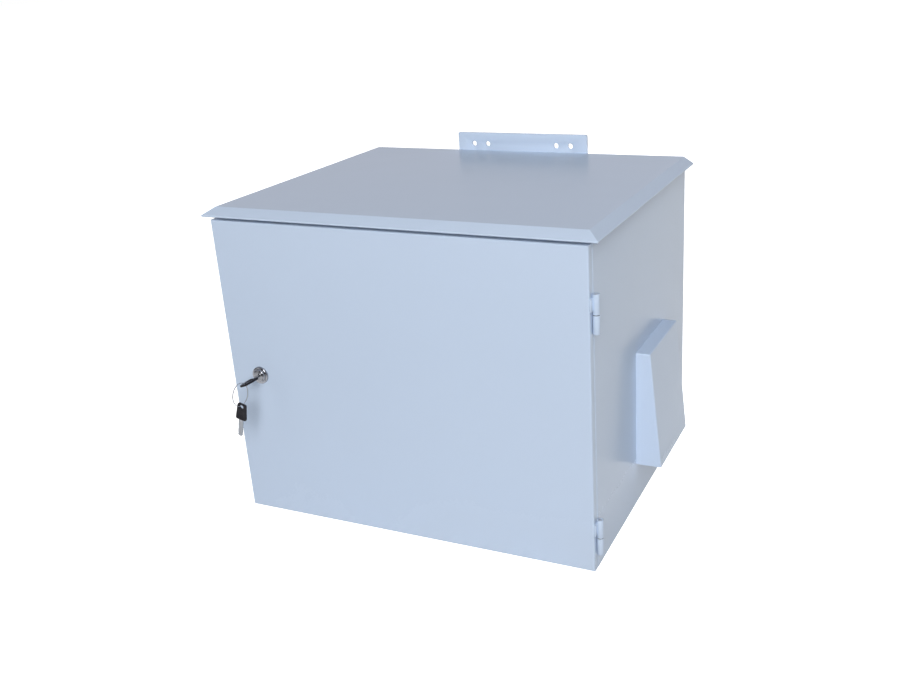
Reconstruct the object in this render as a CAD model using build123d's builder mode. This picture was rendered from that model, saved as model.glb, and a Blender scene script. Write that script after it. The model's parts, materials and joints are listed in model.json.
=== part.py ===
from build123d import *
import os
from math import cos, radians, sin

# Roadside utility cabinet: a folded steel box with one door on two side hinges, a cam lock with its keys,
# a rain hood over a vent in the right side and a fixing plate behind the roof. Lengths are in millimetres.
# The origin is the middle of the floor it stands on. +X points to the hinges, -Y out of the door, +Z up.

os.makedirs("parts", exist_ok=True)

# Cabinet box
cabinet_width = 600.0
cabinet_depth = 500.0  # door face to back wall
cabinet_height = 508.0  # floor to the flat of the roof
sheet = 1.5
fold_radius = 2.0  # outside of the folds round the front and back
corner_radius = 3.0  # outside of the folds between floor and sides
top_radius = 5.0  # outside of the folds between sides and top flange
frame_flange = 22.0  # width of the front frame at the sides and the floor
frame_head = 38.0  # width of the front frame under the roof
top_flange = 30.0

# Roof
roof_sheet = 1.5
roof_fold_radius = 3.0
roof_side_inset = 2.5  # the side folds lie this far inside the side walls
roof_front_ahead = 1.5  # the front fold lies this far ahead of the front frame
eave_reach = 16.5
eave_angle = 33.0
hem_gap = 0.5
hem_leg = 7.0

# Door
door_sheet = 1.5
door_return = 13.0  # depth of the folded tray
door_gap = 3.0  # between the tray's edge and the front frame
door_foot = 3.0  # above the floor
door_head = 17.5  # below the roof's flat
door_fold_radius = 2.5
gasket_width = 10.0
gasket_thickness = 7.0
gasket_clearance = 0.3

# Hinges
knuckle_radius = 5.0
body_barrel = 26.5
door_barrel = 28.5
pin_radius = 3.0
hinge_play = 0.05  # radial, in the door's barrels
hinge_side_gap = 0.5  # between the barrels and the door's edge
hinge_washer = 1.0
washer_rim = 0.4  # the washer is this much smaller than the barrels
axial_play = 0.2
strap_thickness = 2.0
strap_length = 23.0
tab_height = 18.0
tab_reach = 10.0
upper_hinge_drop = 96.9  # below the door's top
lower_hinge_rise = 55.0  # above the floor

# Lock
lock_inset = 53.0  # from the door's free edge
lock_height = 244.0
lock_turn = 20.0  # the key's slot is tilted by this angle
flange_radius = 14.0
flange_thickness = 4.0
collar_radius = 10.5
collar_height = 3.0
lock_barrel_radius = 9.5
lock_flat = 8.2  # half the width across the barrel's flats
lock_hole_clearance = 0.25
plug_radius = 7.0
plug_head_radius = 8.5
plug_head = 2.0
plug_play = 0.05
plug_stand_out = 0.5
cam_clearance = 0.6  # behind the front frame
cam_play = 0.3  # behind the lock's barrel
cam_thickness = 2.5
cam_length = 45.0
cam_width = 16.0
cam_square = 8.0
cam_stud_radius = 3.0
cam_stud_length = 8.0
thread_clearance = 0.05
lock_nut_flats = 24.0
lock_nut_thickness = 4.0

# Keys
blade_width = 8.0
blade_thickness = 2.0
slot_clearance = 0.2
blade_depth = 12.0  # tip of the blade behind the door's face
bite_radius = 1.1
bite_pitch = 3.2
bite_count = 5
bite_shallow = 0.3  # least depth of a bite, as a part of its radius
bite_step = 0.25  # between the three depths of the bites
bite_depths = 3
head_start = 17.0  # ahead of the door's face
head_length = 28.5
head_width = 19.5
head_tip_width = 15.0
head_thickness = 3.4
head_corner = 3.0
head_edge = 0.7
blade_socket = 8.0  # length of the blade that the head is moulded round
socket_clearance = 0.02
key_hole_radius = 3.5
key_hole_bar = 2.0  # between the hole and the head's end
ring_radius = 18.0
wire_radius = 0.8
ring_lean = 37.0  # how far the ring's radius at the hole points below level
hang_clearance = 0.4
spare_lean = 13.0  # the spare key hangs this far from upright

# Rain hood, vent and filter
hood_sheet = 1.2
hood_y = 37.0
hood_width = 159.0
hood_bottom = 73.0
hood_height = 190.0
hood_top_depth = 22.5
hood_bottom_depth = 40.5
hood_fold_radius = 2.0
hood_flange = 13.0
hood_screw_margin = 7.5  # from the hood's outside to the screws
hood_screw_drop = 20.0  # below the hood's top, and above its bottom
vent_height = 168.0
vent_opening = 116.0
guard_thickness = 1.0
guard_slot_width = 5.0
guard_slot_count = 10
guard_edge = 4.0  # the guard and the filter frame reach this far past the screws, plus the head
mat_size = 122.0
mat_thickness = 10.0
mat_clearance = 0.3
mat_corner = 2.0
frame_sheet = 1.2
window_count = 4
window_bar = 6.0
window_border = 9.0

# Fixing plate behind the roof
bracket_width = 250.0
bracket_thickness = 4.0
bracket_rise = 32.0  # above the roof
bracket_lap = 68.0  # below the roof
bracket_corner = 3.0
bracket_hole_radius = 4.5
bracket_hole_rise = 12.0
bracket_pair_offset = 80.0  # from the middle to each pair of holes
bracket_pair_pitch = 27.0
bracket_screw_spread = 180.0
bracket_screw_pitch = 32.0
bracket_screw_drop = 37.0  # from the roof down to the middle of the screws

# Mounting plate and rails
plate_width = 460.0
plate_height = 400.0
plate_thickness = 2.0
plate_corner = 5.0
plate_centre = 240.0
plate_stand_off = 10.5
plate_stud_spread = 420.0
plate_stud_rise = 360.0
spacer_radius = 7.0
stud_end = 12.0  # beyond the plate
rail_length = 400.0
rail_height = 35.0
rail_hat = 27.0
rail_depth = 7.5
rail_sheet = 1.0
rail_fold_radius = 1.2
rail_slot_length = 15.0
rail_slot_width = 5.2
rail_slot_pitch = 25.0
rail_slot_count = 15
rail_heights = {"upper": 340.0, "lower": 170.0}
rail_screw_slots = 5  # slots from the middle to each screw

# Cable entry in the floor
entry_width = 230.0
entry_depth = 60.0
entry_y = 150.0
entry_margin = 18.0
entry_gasket = 2.0
gland_plate_thickness = 1.5
grommet_count = 3
grommet_pitch = 72.0
grommet_hole = 16.0
grommet_rim = 4.0
grommet_flange = 1.6
grommet_height = 16.0
grommet_tip = 6.0
grommet_wall = 1.5

# Earthing point on the left wall
earth_inset = 64.0  # behind the front frame
earth_z = 70.0
earth_length = 26.0

# Fasteners: radius of the shank, radius and height of the head, width across flats and height of the nut
clearance = 0.25  # radial, in the holes for fasteners
m5_radius = 2.5
m5_head_radius = 4.75
m5_head_height = 3.2
m5_nut_flats = 8.0
m5_nut_height = 4.0
m6_radius = 3.0
m6_sink_radius = 6.2
m6_nut_flats = 10.0
m6_nut_height = 5.0
m8_radius = 4.0
m8_nut_flats = 13.0
m8_nut_height = 6.5
m8_washer_radius = 8.0
washer_thickness = 1.6
nut_chamfer = 0.6

# Places that follow from the sizes
side_x = cabinet_width / 2
front_y = -cabinet_depth / 2
back_y = cabinet_depth / 2
inner_x = side_x - sheet
inner_back_y = back_y - sheet
body_top = cabinet_height - roof_sheet
frame_y = front_y + door_return + door_gap
frame_back_y = frame_y + sheet
body_depth = back_y - frame_y
body_middle_y = (back_y + frame_y) / 2
opening_width = cabinet_width - 2 * frame_flange
opening_top = body_top - frame_head
opening_height = opening_top - frame_flange
opening_middle = (opening_top + frame_flange) / 2
door_top = cabinet_height - door_head
door_height = door_top - door_foot
door_middle = (door_top + door_foot) / 2
door_inner_y = front_y + door_sheet
gasket_back_y = door_inner_y + gasket_thickness
lip_reach = frame_y - gasket_back_y - gasket_clearance
earth_y = frame_y + earth_inset


def write(builder, name):
    """Labels a finished piece and writes it as one file."""
    builder.part.label = name
    export_step(builder.part, f"parts/{name}.step")


# Body shell: floor, sides, back, top flange and front frame with its rain lip
vent_centre = (hood_y, vent_height)
hood_screw_y = hood_width - 2 * hood_screw_margin
hood_screw_z = hood_height - 2 * hood_screw_drop
hood_middle = hood_bottom + hood_height / 2
bracket_screw_z = cabinet_height - bracket_screw_drop

with BuildPart() as body_shell:
    with BuildSketch(Plane.XZ.offset(-back_y)) as box_outline:
        with Locations((0, body_top / 2)):
            Rectangle(cabinet_width, body_top)
        fillet(box_outline.vertices().group_by(Axis.Y)[0], corner_radius)
        fillet(box_outline.vertices().group_by(Axis.Y)[-1], top_radius)
    extrude(amount=body_depth)
    front_and_back = body_shell.faces().sort_by(Axis.Y)
    fillet(front_and_back[0].edges() + front_and_back[-1].edges(), fold_radius)
    offset(amount=-sheet, mode=Mode.SUBTRACT)
    # Way in, with the lip that the door's gasket presses on
    with BuildSketch(Plane.XZ.offset(-frame_y)):
        with Locations((0, opening_middle)):
            Rectangle(opening_width, opening_height)
    extrude(amount=-2 * sheet, mode=Mode.SUBTRACT)
    with BuildSketch(Plane.XZ.offset(-frame_y)):
        with Locations((0, opening_middle)):
            Rectangle(opening_width + 2 * sheet, opening_height + 2 * sheet)
            Rectangle(opening_width, opening_height, mode=Mode.SUBTRACT)
    extrude(amount=lip_reach)
    # Top, closed by the roof
    with BuildSketch(Plane((0, body_middle_y, body_top))):
        Rectangle(cabinet_width - 2 * top_flange, body_depth - 2 * top_flange)
    extrude(amount=-2 * sheet, mode=Mode.SUBTRACT)
    # Vent and the screws of the hood
    with BuildSketch(Plane.YZ.offset(side_x)):
        with Locations(vent_centre):
            Rectangle(vent_opening, vent_opening)
        with Locations((hood_y, hood_middle)):
            with GridLocations(hood_screw_y, hood_screw_z, 2, 2):
                Circle(m5_radius + clearance)
    extrude(amount=-2 * sheet, mode=Mode.SUBTRACT)
    # Cable entry
    with BuildSketch(Plane((0, entry_y, 0))):
        Rectangle(entry_width, entry_depth)
    extrude(amount=2 * sheet, mode=Mode.SUBTRACT)
    # Screws of the fixing plate
    with BuildSketch(Plane.XZ.offset(-back_y)):
        with Locations((0, bracket_screw_z)):
            with GridLocations(bracket_screw_spread, bracket_screw_pitch, 2, 2):
                Circle(m6_radius + clearance)
    extrude(amount=2 * sheet, mode=Mode.SUBTRACT)
write(body_shell, "body_shell")

# Roof: a flat sheet with a folded and hemmed eave on three sides, cut flush with the back wall
fold_x = side_x - roof_side_inset
fold_y = frame_y - roof_front_ahead
roof_lap = 4.0
nose_radius = roof_sheet + hem_gap / 2
slope_x = cos(radians(eave_angle))
slope_y = sin(radians(eave_angle))
slope_length = (eave_reach - nose_radius * (1 - slope_y)) / slope_x
slope_end = (slope_length * slope_x, slope_length * slope_y)
nose_centre = (slope_end[0] - nose_radius * slope_y, slope_end[1] + nose_radius * slope_x)

with BuildPart() as roof:
    with BuildLine() as fold_line:
        Polyline(
            (-fold_x, back_y, cabinet_height),
            (-fold_x, fold_y, cabinet_height),
            (fold_x, fold_y, cabinet_height),
            (fold_x, back_y, cabinet_height),
        )
    # The eave's section, with its first axis outward and its second axis down
    with BuildSketch(Plane((-fold_x, back_y, cabinet_height), x_dir=(-1, 0, 0), z_dir=(0, -1, 0))):
        with BuildLine():
            FilletPolyline((-roof_lap, 0), (0, 0), slope_end, radius=roof_fold_radius)
            nose = CenterArc(nose_centre, nose_radius, eave_angle - 90, 180)
            PolarLine(nose @ 1, hem_leg, angle=eave_angle + 180)
            offset(amount=roof_sheet, side=Side.LEFT)
        make_face()
    sweep(path=fold_line, transition=Transition.RIGHT)
    with BuildSketch(Plane.XY.offset(body_top)):
        with Locations((0, (fold_y + roof_lap + back_y) / 2)):
            Rectangle(2 * (fold_x - roof_lap), back_y - fold_y - roof_lap)
    extrude(amount=roof_sheet)
write(roof, "roof")

# Door: a folded tray with a hole for the lock
lock_place = (-side_x + lock_inset, front_y, lock_height)
slot_direction = (cos(radians(lock_turn)), 0, sin(radians(lock_turn)))
lock_plane = Plane(lock_place, x_dir=slot_direction, z_dir=(0, -1, 0))

with BuildPart() as door_shell:
    with BuildSketch(Plane.XZ.offset(-front_y)):
        with Locations((0, door_middle)):
            Rectangle(cabinet_width, door_height)
    extrude(amount=-door_return)
    fillet(door_shell.faces().sort_by(Axis.Y)[0].edges(), door_fold_radius)
    offset(amount=-door_sheet, openings=door_shell.faces().sort_by(Axis.Y)[-1])
    with BuildSketch(lock_plane):
        Circle(lock_barrel_radius + lock_hole_clearance)
        Rectangle(
            3 * lock_barrel_radius, 2 * (lock_flat + lock_hole_clearance), mode=Mode.INTERSECT
        )
    extrude(amount=-2 * door_sheet, mode=Mode.SUBTRACT)
write(door_shell, "door_shell")

# Foam seal inside the door, centred on the frame's lip
with BuildPart() as door_gasket:
    with BuildSketch(Plane.XZ.offset(-door_inner_y)):
        with Locations((0, opening_middle)):
            seal_width = opening_width + sheet + gasket_width
            seal_height = opening_height + sheet + gasket_width
            RectangleRounded(seal_width, seal_height, gasket_width)
            Rectangle(
                seal_width - 2 * gasket_width, seal_height - 2 * gasket_width, mode=Mode.SUBTRACT
            )
    extrude(amount=-gasket_thickness)
    fillet(door_gasket.faces().sort_by(Axis.Y)[-1].edges(), gasket_width / 5)
write(door_gasket, "door_gasket")

# Hinges: the cabinet's halves lie on the front frame, the door's halves on the edge of the door
hinge_x = side_x + hinge_side_gap + knuckle_radius
hinge_y = frame_y - knuckle_radius
hinge_splits = {"upper": door_top - upper_hinge_drop, "lower": lower_hinge_rise}
door_barrel_rise = hinge_washer + axial_play

for place, split in hinge_splits.items():
    with BuildPart() as body_hinge:
        with BuildSketch(Plane((hinge_x, hinge_y, split))):
            Circle(knuckle_radius)
            with Locations((-strap_length / 2, knuckle_radius - strap_thickness / 2)):
                Rectangle(strap_length, strap_thickness)
            Circle(pin_radius, mode=Mode.SUBTRACT)
        extrude(amount=-body_barrel)
    write(body_hinge, f"body_hinge_{place}")

    with BuildPart() as door_hinge:
        with BuildSketch(Plane((hinge_x, hinge_y, split + door_barrel_rise))):
            Circle(knuckle_radius)
        extrude(amount=door_barrel)
        tab_foot = split + door_barrel_rise + (door_barrel - tab_height) / 2
        with BuildSketch(Plane((side_x, hinge_y, tab_foot))):
            with Locations((strap_thickness / 2, -tab_reach / 2)):
                Rectangle(strap_thickness, tab_reach)
        extrude(amount=tab_height)
        with BuildSketch(Plane((hinge_x, hinge_y, split))):
            Circle(pin_radius + hinge_play)
        extrude(amount=door_barrel_rise + door_barrel, mode=Mode.SUBTRACT)
    write(door_hinge, f"door_hinge_{place}")

with BuildPart() as hinge_pins:
    for split in hinge_splits.values():
        with BuildSketch(Plane((hinge_x, hinge_y, split - body_barrel))):
            Circle(pin_radius)
        extrude(amount=body_barrel + door_barrel_rise + door_barrel)
    pin_ends = hinge_pins.edges().filter_by(GeomType.CIRCLE)
    chamfer(pin_ends, pin_radius / 4)
write(hinge_pins, "hinge_pins")

with BuildPart() as hinge_washers:
    for split in hinge_splits.values():
        with BuildSketch(Plane((hinge_x, hinge_y, split))):
            Circle(knuckle_radius - washer_rim)
            Circle(pin_radius + hinge_play, mode=Mode.SUBTRACT)
        extrude(amount=hinge_washer)
write(hinge_washers, "hinge_washers")

# Lock: measured outward from the door's face, so a place inside the door is negative
cam_front = -(frame_back_y + cam_clearance - front_y)
barrel_end = cam_front + cam_play
lock_front = flange_thickness + collar_height

with BuildPart() as lock_housing:
    with BuildSketch(lock_plane):
        Circle(flange_radius)
    extrude(amount=flange_thickness)
    chamfer(lock_housing.faces().sort_by(Axis.Y)[0].edges(), flange_thickness / 2)
    with BuildSketch(lock_plane):
        Circle(collar_radius)
    extrude(amount=lock_front)
    fillet(lock_housing.faces().sort_by(Axis.Y)[0].edges(), collar_height / 3)
    with BuildSketch(lock_plane):
        Circle(lock_barrel_radius)
        Rectangle(3 * lock_barrel_radius, 2 * lock_flat, mode=Mode.INTERSECT)
    extrude(amount=barrel_end)
    with BuildSketch(lock_plane.offset(lock_front)):
        Circle(plug_radius + plug_play)
    extrude(amount=barrel_end - lock_front, mode=Mode.SUBTRACT)
    with BuildSketch(lock_plane.offset(lock_front)):
        Circle(plug_head_radius + plug_play)
    extrude(amount=-plug_head - plug_play, mode=Mode.SUBTRACT)
write(lock_housing, "lock_housing")

with BuildPart() as lock_nut:
    with BuildSketch(lock_plane.offset(-door_sheet)):
        RegularPolygon(lock_nut_flats / 2, 6, major_radius=False)
        Circle(lock_barrel_radius + thread_clearance, mode=Mode.SUBTRACT)
    extrude(amount=-lock_nut_thickness)
write(lock_nut, "lock_nut")

plug_front = lock_front + plug_stand_out
with BuildPart() as lock_plug:
    with BuildSketch(lock_plane.offset(plug_front)):
        Circle(plug_head_radius)
    extrude(amount=-plug_head - plug_stand_out)
    chamfer(lock_plug.faces().sort_by(Axis.Y)[0].edges(), plug_stand_out)
    with BuildSketch(lock_plane.offset(plug_front - plug_stand_out)):
        Circle(plug_radius)
    extrude(amount=cam_front - plug_front + plug_stand_out)
    with BuildSketch(lock_plane.offset(cam_front)):
        Rectangle(cam_square, cam_square)
    extrude(amount=-cam_thickness)
    with BuildSketch(lock_plane.offset(cam_front)):
        Circle(cam_stud_radius)
    extrude(amount=-cam_thickness - cam_stud_length)
    with BuildSketch(lock_plane.offset(plug_front)):
        Rectangle(blade_width + 2 * slot_clearance, blade_thickness + 2 * slot_clearance)
    extrude(amount=-plug_front - blade_depth - slot_clearance, mode=Mode.SUBTRACT)
write(lock_plug, "lock_plug")

with BuildPart() as lock_cam:
    with BuildSketch(lock_plane.offset(cam_front)):
        with Locations((0, -cam_length / 2 + cam_width / 4)):
            SlotOverall(cam_length + cam_width / 2, cam_width, rotation=90)
        Rectangle(cam_square + 2 * thread_clearance, cam_square + 2 * thread_clearance, mode=Mode.SUBTRACT)
    extrude(amount=-cam_thickness)
write(lock_cam, "lock_cam")

with BuildPart() as cam_washer:
    with BuildSketch(lock_plane.offset(cam_front - cam_thickness)):
        Circle(m6_nut_flats / 2 + washer_thickness)
        Circle(cam_stud_radius + thread_clearance, mode=Mode.SUBTRACT)
    extrude(amount=-washer_thickness)
write(cam_washer, "cam_washer")

with BuildPart() as cam_nut:
    with BuildSketch(lock_plane.offset(cam_front - cam_thickness - washer_thickness)):
        RegularPolygon(m6_nut_flats / 2, 6, major_radius=False)
        Circle(cam_stud_radius + thread_clearance, mode=Mode.SUBTRACT)
    extrude(amount=-m6_nut_height)
write(cam_nut, "cam_nut")

# Keys: each lies in a plane whose first axis is the key's width and whose second runs from tip to ring
head_end = head_start + head_length
hole_place = head_end - key_hole_bar - key_hole_radius
ring_out = ring_radius * cos(radians(ring_lean))
ring_down = ring_radius * sin(radians(ring_lean))
ring_y = front_y - hole_place - ring_out
ring_z = lock_height - ring_down
wire_z = ring_z - ring_radius
hang_place = hole_place + key_hole_radius - hang_clearance - wire_radius
lean_x = sin(radians(spare_lean))
lean_z = cos(radians(spare_lean))
spare_place = (lock_place[0] - hang_place * lean_x, ring_y, wire_z - hang_place * lean_z)
key_plane = Plane(
    lock_place, x_dir=slot_direction, z_dir=(slot_direction[2], 0, -slot_direction[0])
)
spare_plane = Plane(spare_place, x_dir=(lean_z, 0, -lean_x), z_dir=(0, -1, 0))


def blade(plane):
    """The key's steel blade, with its bites, from the tip to the end that the head holds."""
    tip = -blade_depth
    end = head_start + blade_socket
    with BuildPart() as piece:
        with BuildSketch(plane):
            with Locations((0, (tip + end) / 2)):
                outline = Rectangle(blade_width, end - tip)
            chamfer(outline.vertices().group_by(Axis.Y)[0], blade_width / 4)
            for index in range(bite_count):
                bite_place = tip + blade_width / 2 + index * bite_pitch
                bite_depth = bite_radius * (bite_shallow + bite_step * (index % bite_depths))
                with Locations(
                    (blade_width / 2 + bite_depth, bite_place), (-blade_width / 2 - bite_depth, bite_place)
                ):
                    Circle(bite_radius, mode=Mode.SUBTRACT)
        extrude(amount=blade_thickness / 2, both=True)
    return piece


def head(plane):
    """The key's moulded head, with the hole for the ring and the socket round the blade."""
    with BuildPart() as piece:
        with BuildSketch(plane):
            with BuildLine():
                Polyline(
                    (-head_width / 2, head_start),
                    (head_width / 2, head_start),
                    (head_tip_width / 2, head_end),
                    (-head_tip_width / 2, head_end),
                    close=True,
                )
            outline = make_face()
            fillet(outline.vertices(), head_corner)
        extrude(amount=head_thickness / 2, both=True)
        faces = piece.faces().sort_by(Axis(plane.origin, plane.z_dir))
        fillet(faces[0].edges() + faces[-1].edges(), head_edge)
        with BuildSketch(plane):
            with Locations((0, hole_place)):
                Circle(key_hole_radius)
        extrude(amount=head_thickness, both=True, mode=Mode.SUBTRACT)
        with BuildSketch(plane):
            with Locations((0, head_start + blade_socket / 2)):
                Rectangle(blade_width + 2 * socket_clearance, blade_socket + 2 * socket_clearance)
        extrude(amount=blade_thickness / 2 + socket_clearance, both=True, mode=Mode.SUBTRACT)
    return piece


write(blade(key_plane), "key_blade")
write(head(key_plane), "key_head")
write(blade(spare_plane), "spare_key_blade")
write(head(spare_plane), "spare_key_head")

with BuildPart(Plane((lock_place[0], ring_y, ring_z), z_dir=(1, 0, 0))) as key_ring:
    Torus(ring_radius, wire_radius)
write(key_ring, "key_ring")

# Rain hood: folded from one sheet, open at the bottom, with flanges against the side wall
hood_top = hood_bottom + hood_height
with BuildPart() as vent_hood:
    with BuildSketch(Plane.XZ.offset(-hood_y)):
        with BuildLine():
            Polyline(
                (side_x, hood_bottom),
                (side_x + hood_bottom_depth, hood_bottom),
                (side_x + hood_top_depth, hood_top),
                (side_x, hood_top),
                close=True,
            )
        make_face()
    extrude(amount=hood_width / 2, both=True)
    outer_face = vent_hood.faces().sort_by(Axis.X)[-1]
    top_face = vent_hood.faces().sort_by(Axis.Z)[-1]
    folds = (outer_face.edges() + top_face.edges()).filter_by(lambda edge: edge.center().X > side_x + 1)
    folds = folds.filter_by(lambda edge: edge.center().Z > hood_bottom + 1)
    fillet(folds, hood_fold_radius)
    wall_side = vent_hood.faces().sort_by(Axis.X)[0]
    mouth = vent_hood.faces().sort_by(Axis.Z)[0]
    offset(amount=-hood_sheet, openings=[wall_side, mouth])
    with BuildSketch(Plane.YZ.offset(side_x)):
        with Locations((hood_y, hood_middle)):
            Rectangle(hood_width - hood_sheet, hood_height - hood_sheet)
            with Locations((0, -hood_flange)):
                Rectangle(hood_width - 2 * hood_flange, hood_height, mode=Mode.SUBTRACT)
            with GridLocations(hood_screw_y, hood_screw_z, 2, 2):
                Circle(m5_radius + clearance, mode=Mode.SUBTRACT)
    extrude(amount=hood_sheet)
write(vent_hood, "vent_hood")

# Vent guard: slotted sheet over the opening, inside the wall
guard_width = hood_screw_y + 2 * (m5_head_radius + guard_edge)
guard_height = hood_screw_z + 2 * (m5_head_radius + guard_edge)
guard_pitch = vent_opening / guard_slot_count
guard_x = inner_x - guard_thickness
with BuildPart() as vent_guard:
    with BuildSketch(Plane.YZ.offset(inner_x)):
        with Locations((hood_y, hood_middle)):
            RectangleRounded(guard_width, guard_height, guard_edge)
            with GridLocations(hood_screw_y, hood_screw_z, 2, 2):
                Circle(m5_radius + clearance, mode=Mode.SUBTRACT)
        with Locations(vent_centre):
            with GridLocations(0, guard_pitch, 1, guard_slot_count):
                SlotOverall(vent_opening - guard_pitch, guard_slot_width, mode=Mode.SUBTRACT)
    extrude(amount=-guard_thickness)
write(vent_guard, "vent_guard")

# Filter pad, and the folded frame that holds it against the guard
pocket_size = mat_size + 2 * mat_clearance
pocket_depth = mat_thickness + 2 * mat_clearance
window_height = (pocket_size - 2 * window_border - (window_count - 1) * window_bar) / window_count
with BuildPart() as filter_mat:
    with BuildSketch(Plane.YZ.offset(guard_x - mat_clearance)):
        with Locations(vent_centre):
            RectangleRounded(mat_size, mat_size, mat_corner)
    extrude(amount=-mat_thickness)
write(filter_mat, "filter_mat")

with BuildPart() as filter_frame:
    with BuildSketch(Plane.YZ.offset(guard_x)):
        with Locations((hood_y, hood_middle)):
            RectangleRounded(guard_width, guard_height, guard_edge)
            with GridLocations(hood_screw_y, hood_screw_z, 2, 2):
                Circle(m5_radius + clearance, mode=Mode.SUBTRACT)
    extrude(amount=-frame_sheet)
    with BuildSketch(Plane.YZ.offset(guard_x)):
        with Locations(vent_centre):
            Rectangle(pocket_size + 2 * frame_sheet, pocket_size + 2 * frame_sheet)
    extrude(amount=-pocket_depth - frame_sheet)
    with BuildSketch(Plane.YZ.offset(guard_x)):
        with Locations(vent_centre):
            Rectangle(pocket_size, pocket_size)
    extrude(amount=-pocket_depth, mode=Mode.SUBTRACT)
    with BuildSketch(Plane.YZ.offset(guard_x - pocket_depth)):
        with Locations(vent_centre):
            with GridLocations(0, window_height + window_bar, 1, window_count):
                Rectangle(pocket_size - 2 * window_border, window_height)
    extrude(amount=-frame_sheet, mode=Mode.SUBTRACT)
write(filter_frame, "filter_frame")

# Screws from inside the cabinet, with their nuts on the hood's flanges
frame_face_x = guard_x - frame_sheet
hood_nut_x = side_x + hood_sheet
with BuildPart() as hood_screws:
    with BuildSketch(Plane.YZ.offset(frame_face_x)):
        with Locations((hood_y, hood_middle)):
            with GridLocations(hood_screw_y, hood_screw_z, 2, 2):
                Circle(m5_head_radius)
    extrude(amount=-m5_head_height)
    chamfer(hood_screws.faces().group_by(Axis.X)[0].edges(), m5_head_height / 2)
    with BuildSketch(Plane.YZ.offset(frame_face_x)):
        with Locations((hood_y, hood_middle)):
            with GridLocations(hood_screw_y, hood_screw_z, 2, 2):
                Circle(m5_radius)
    extrude(amount=hood_nut_x + m5_nut_height - frame_face_x)
write(hood_screws, "hood_screws")

with BuildPart() as hood_nuts:
    with BuildSketch(Plane.YZ.offset(hood_nut_x)):
        with Locations((hood_y, hood_middle)):
            with GridLocations(hood_screw_y, hood_screw_z, 2, 2):
                RegularPolygon(m5_nut_flats / 2, 6, major_radius=False)
                Circle(m5_radius + thread_clearance, mode=Mode.SUBTRACT)
    extrude(amount=m5_nut_height)
write(hood_nuts, "hood_nuts")

# Fixing plate: stands up behind the roof, with two pairs of holes
bracket_height = bracket_rise + bracket_lap
bracket_outer_y = back_y + bracket_thickness
with BuildPart() as wall_bracket:
    with BuildSketch(Plane.XZ.offset(-back_y)):
        with Locations((0, cabinet_height + (bracket_rise - bracket_lap) / 2)):
            RectangleRounded(bracket_width, bracket_height, bracket_corner)
        with Locations((0, cabinet_height + bracket_hole_rise)):
            with GridLocations(2 * bracket_pair_offset, 0, 2, 1):
                with GridLocations(bracket_pair_pitch, 0, 2, 1):
                    Circle(bracket_hole_radius, mode=Mode.SUBTRACT)
    extrude(amount=-bracket_thickness)
    with Locations(Plane((0, bracket_outer_y, bracket_screw_z), x_dir=(1, 0, 0), z_dir=(0, 1, 0))):
        with GridLocations(bracket_screw_spread, bracket_screw_pitch, 2, 2):
            CounterSinkHole(m6_radius + clearance, m6_sink_radius + clearance, bracket_thickness)
write(wall_bracket, "wall_bracket")

bracket_nut_y = inner_back_y
sink_depth = m6_sink_radius - m6_radius
with BuildPart() as bracket_screws:
    with BuildSketch(Plane.XZ.offset(-bracket_outer_y)):
        with Locations((0, bracket_screw_z)):
            with GridLocations(bracket_screw_spread, bracket_screw_pitch, 2, 2):
                Circle(m6_sink_radius)
    extrude(amount=sink_depth, taper=45)
    with BuildSketch(Plane.XZ.offset(-bracket_outer_y)):
        with Locations((0, bracket_screw_z)):
            with GridLocations(bracket_screw_spread, bracket_screw_pitch, 2, 2):
                Circle(m6_radius)
    extrude(amount=bracket_outer_y - bracket_nut_y + m6_nut_height)
write(bracket_screws, "bracket_screws")

with BuildPart() as bracket_nuts:
    with BuildSketch(Plane.XZ.offset(-bracket_nut_y)):
        with Locations((0, bracket_screw_z)):
            with GridLocations(bracket_screw_spread, bracket_screw_pitch, 2, 2):
                RegularPolygon(m6_nut_flats / 2, 6, major_radius=False)
                Circle(m6_radius + thread_clearance, mode=Mode.SUBTRACT)
    extrude(amount=m6_nut_height)
write(bracket_nuts, "bracket_nuts")

# Mounting plate on studs welded to the back wall
plate_back_y = inner_back_y - plate_stand_off
plate_front_y = plate_back_y - plate_thickness
with BuildPart() as mounting_plate:
    with BuildSketch(Plane.XZ.offset(-plate_back_y)):
        with Locations((0, plate_centre)):
            RectangleRounded(plate_width, plate_height, plate_corner)
            with GridLocations(plate_stud_spread, plate_stud_rise, 2, 2):
                Circle(m8_radius + clearance, mode=Mode.SUBTRACT)
        for rail_z in rail_heights.values():
            with Locations((0, rail_z)):
                with GridLocations(2 * rail_screw_slots * rail_slot_pitch, 0, 2, 1):
                    Circle(m5_radius, mode=Mode.SUBTRACT)
    extrude(amount=plate_thickness)
write(mounting_plate, "mounting_plate")

with BuildPart() as plate_studs:
    with BuildSketch(Plane.XZ.offset(-inner_back_y)):
        with Locations((0, plate_centre)):
            with GridLocations(plate_stud_spread, plate_stud_rise, 2, 2):
                Circle(m8_radius)
    extrude(amount=plate_stand_off + plate_thickness + stud_end)
    chamfer(plate_studs.faces().group_by(Axis.Y)[0].edges(), nut_chamfer)
write(plate_studs, "plate_studs")

with BuildPart() as plate_spacers:
    with BuildSketch(Plane.XZ.offset(-inner_back_y)):
        with Locations((0, plate_centre)):
            with GridLocations(plate_stud_spread, plate_stud_rise, 2, 2):
                Circle(spacer_radius)
                Circle(m8_radius + clearance, mode=Mode.SUBTRACT)
    extrude(amount=plate_stand_off)
write(plate_spacers, "plate_spacers")

with BuildPart() as plate_washers:
    with BuildSketch(Plane.XZ.offset(-plate_front_y)):
        with Locations((0, plate_centre)):
            with GridLocations(plate_stud_spread, plate_stud_rise, 2, 2):
                Circle(m8_washer_radius)
                Circle(m8_radius + clearance, mode=Mode.SUBTRACT)
    extrude(amount=washer_thickness)
write(plate_washers, "plate_washers")

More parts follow.
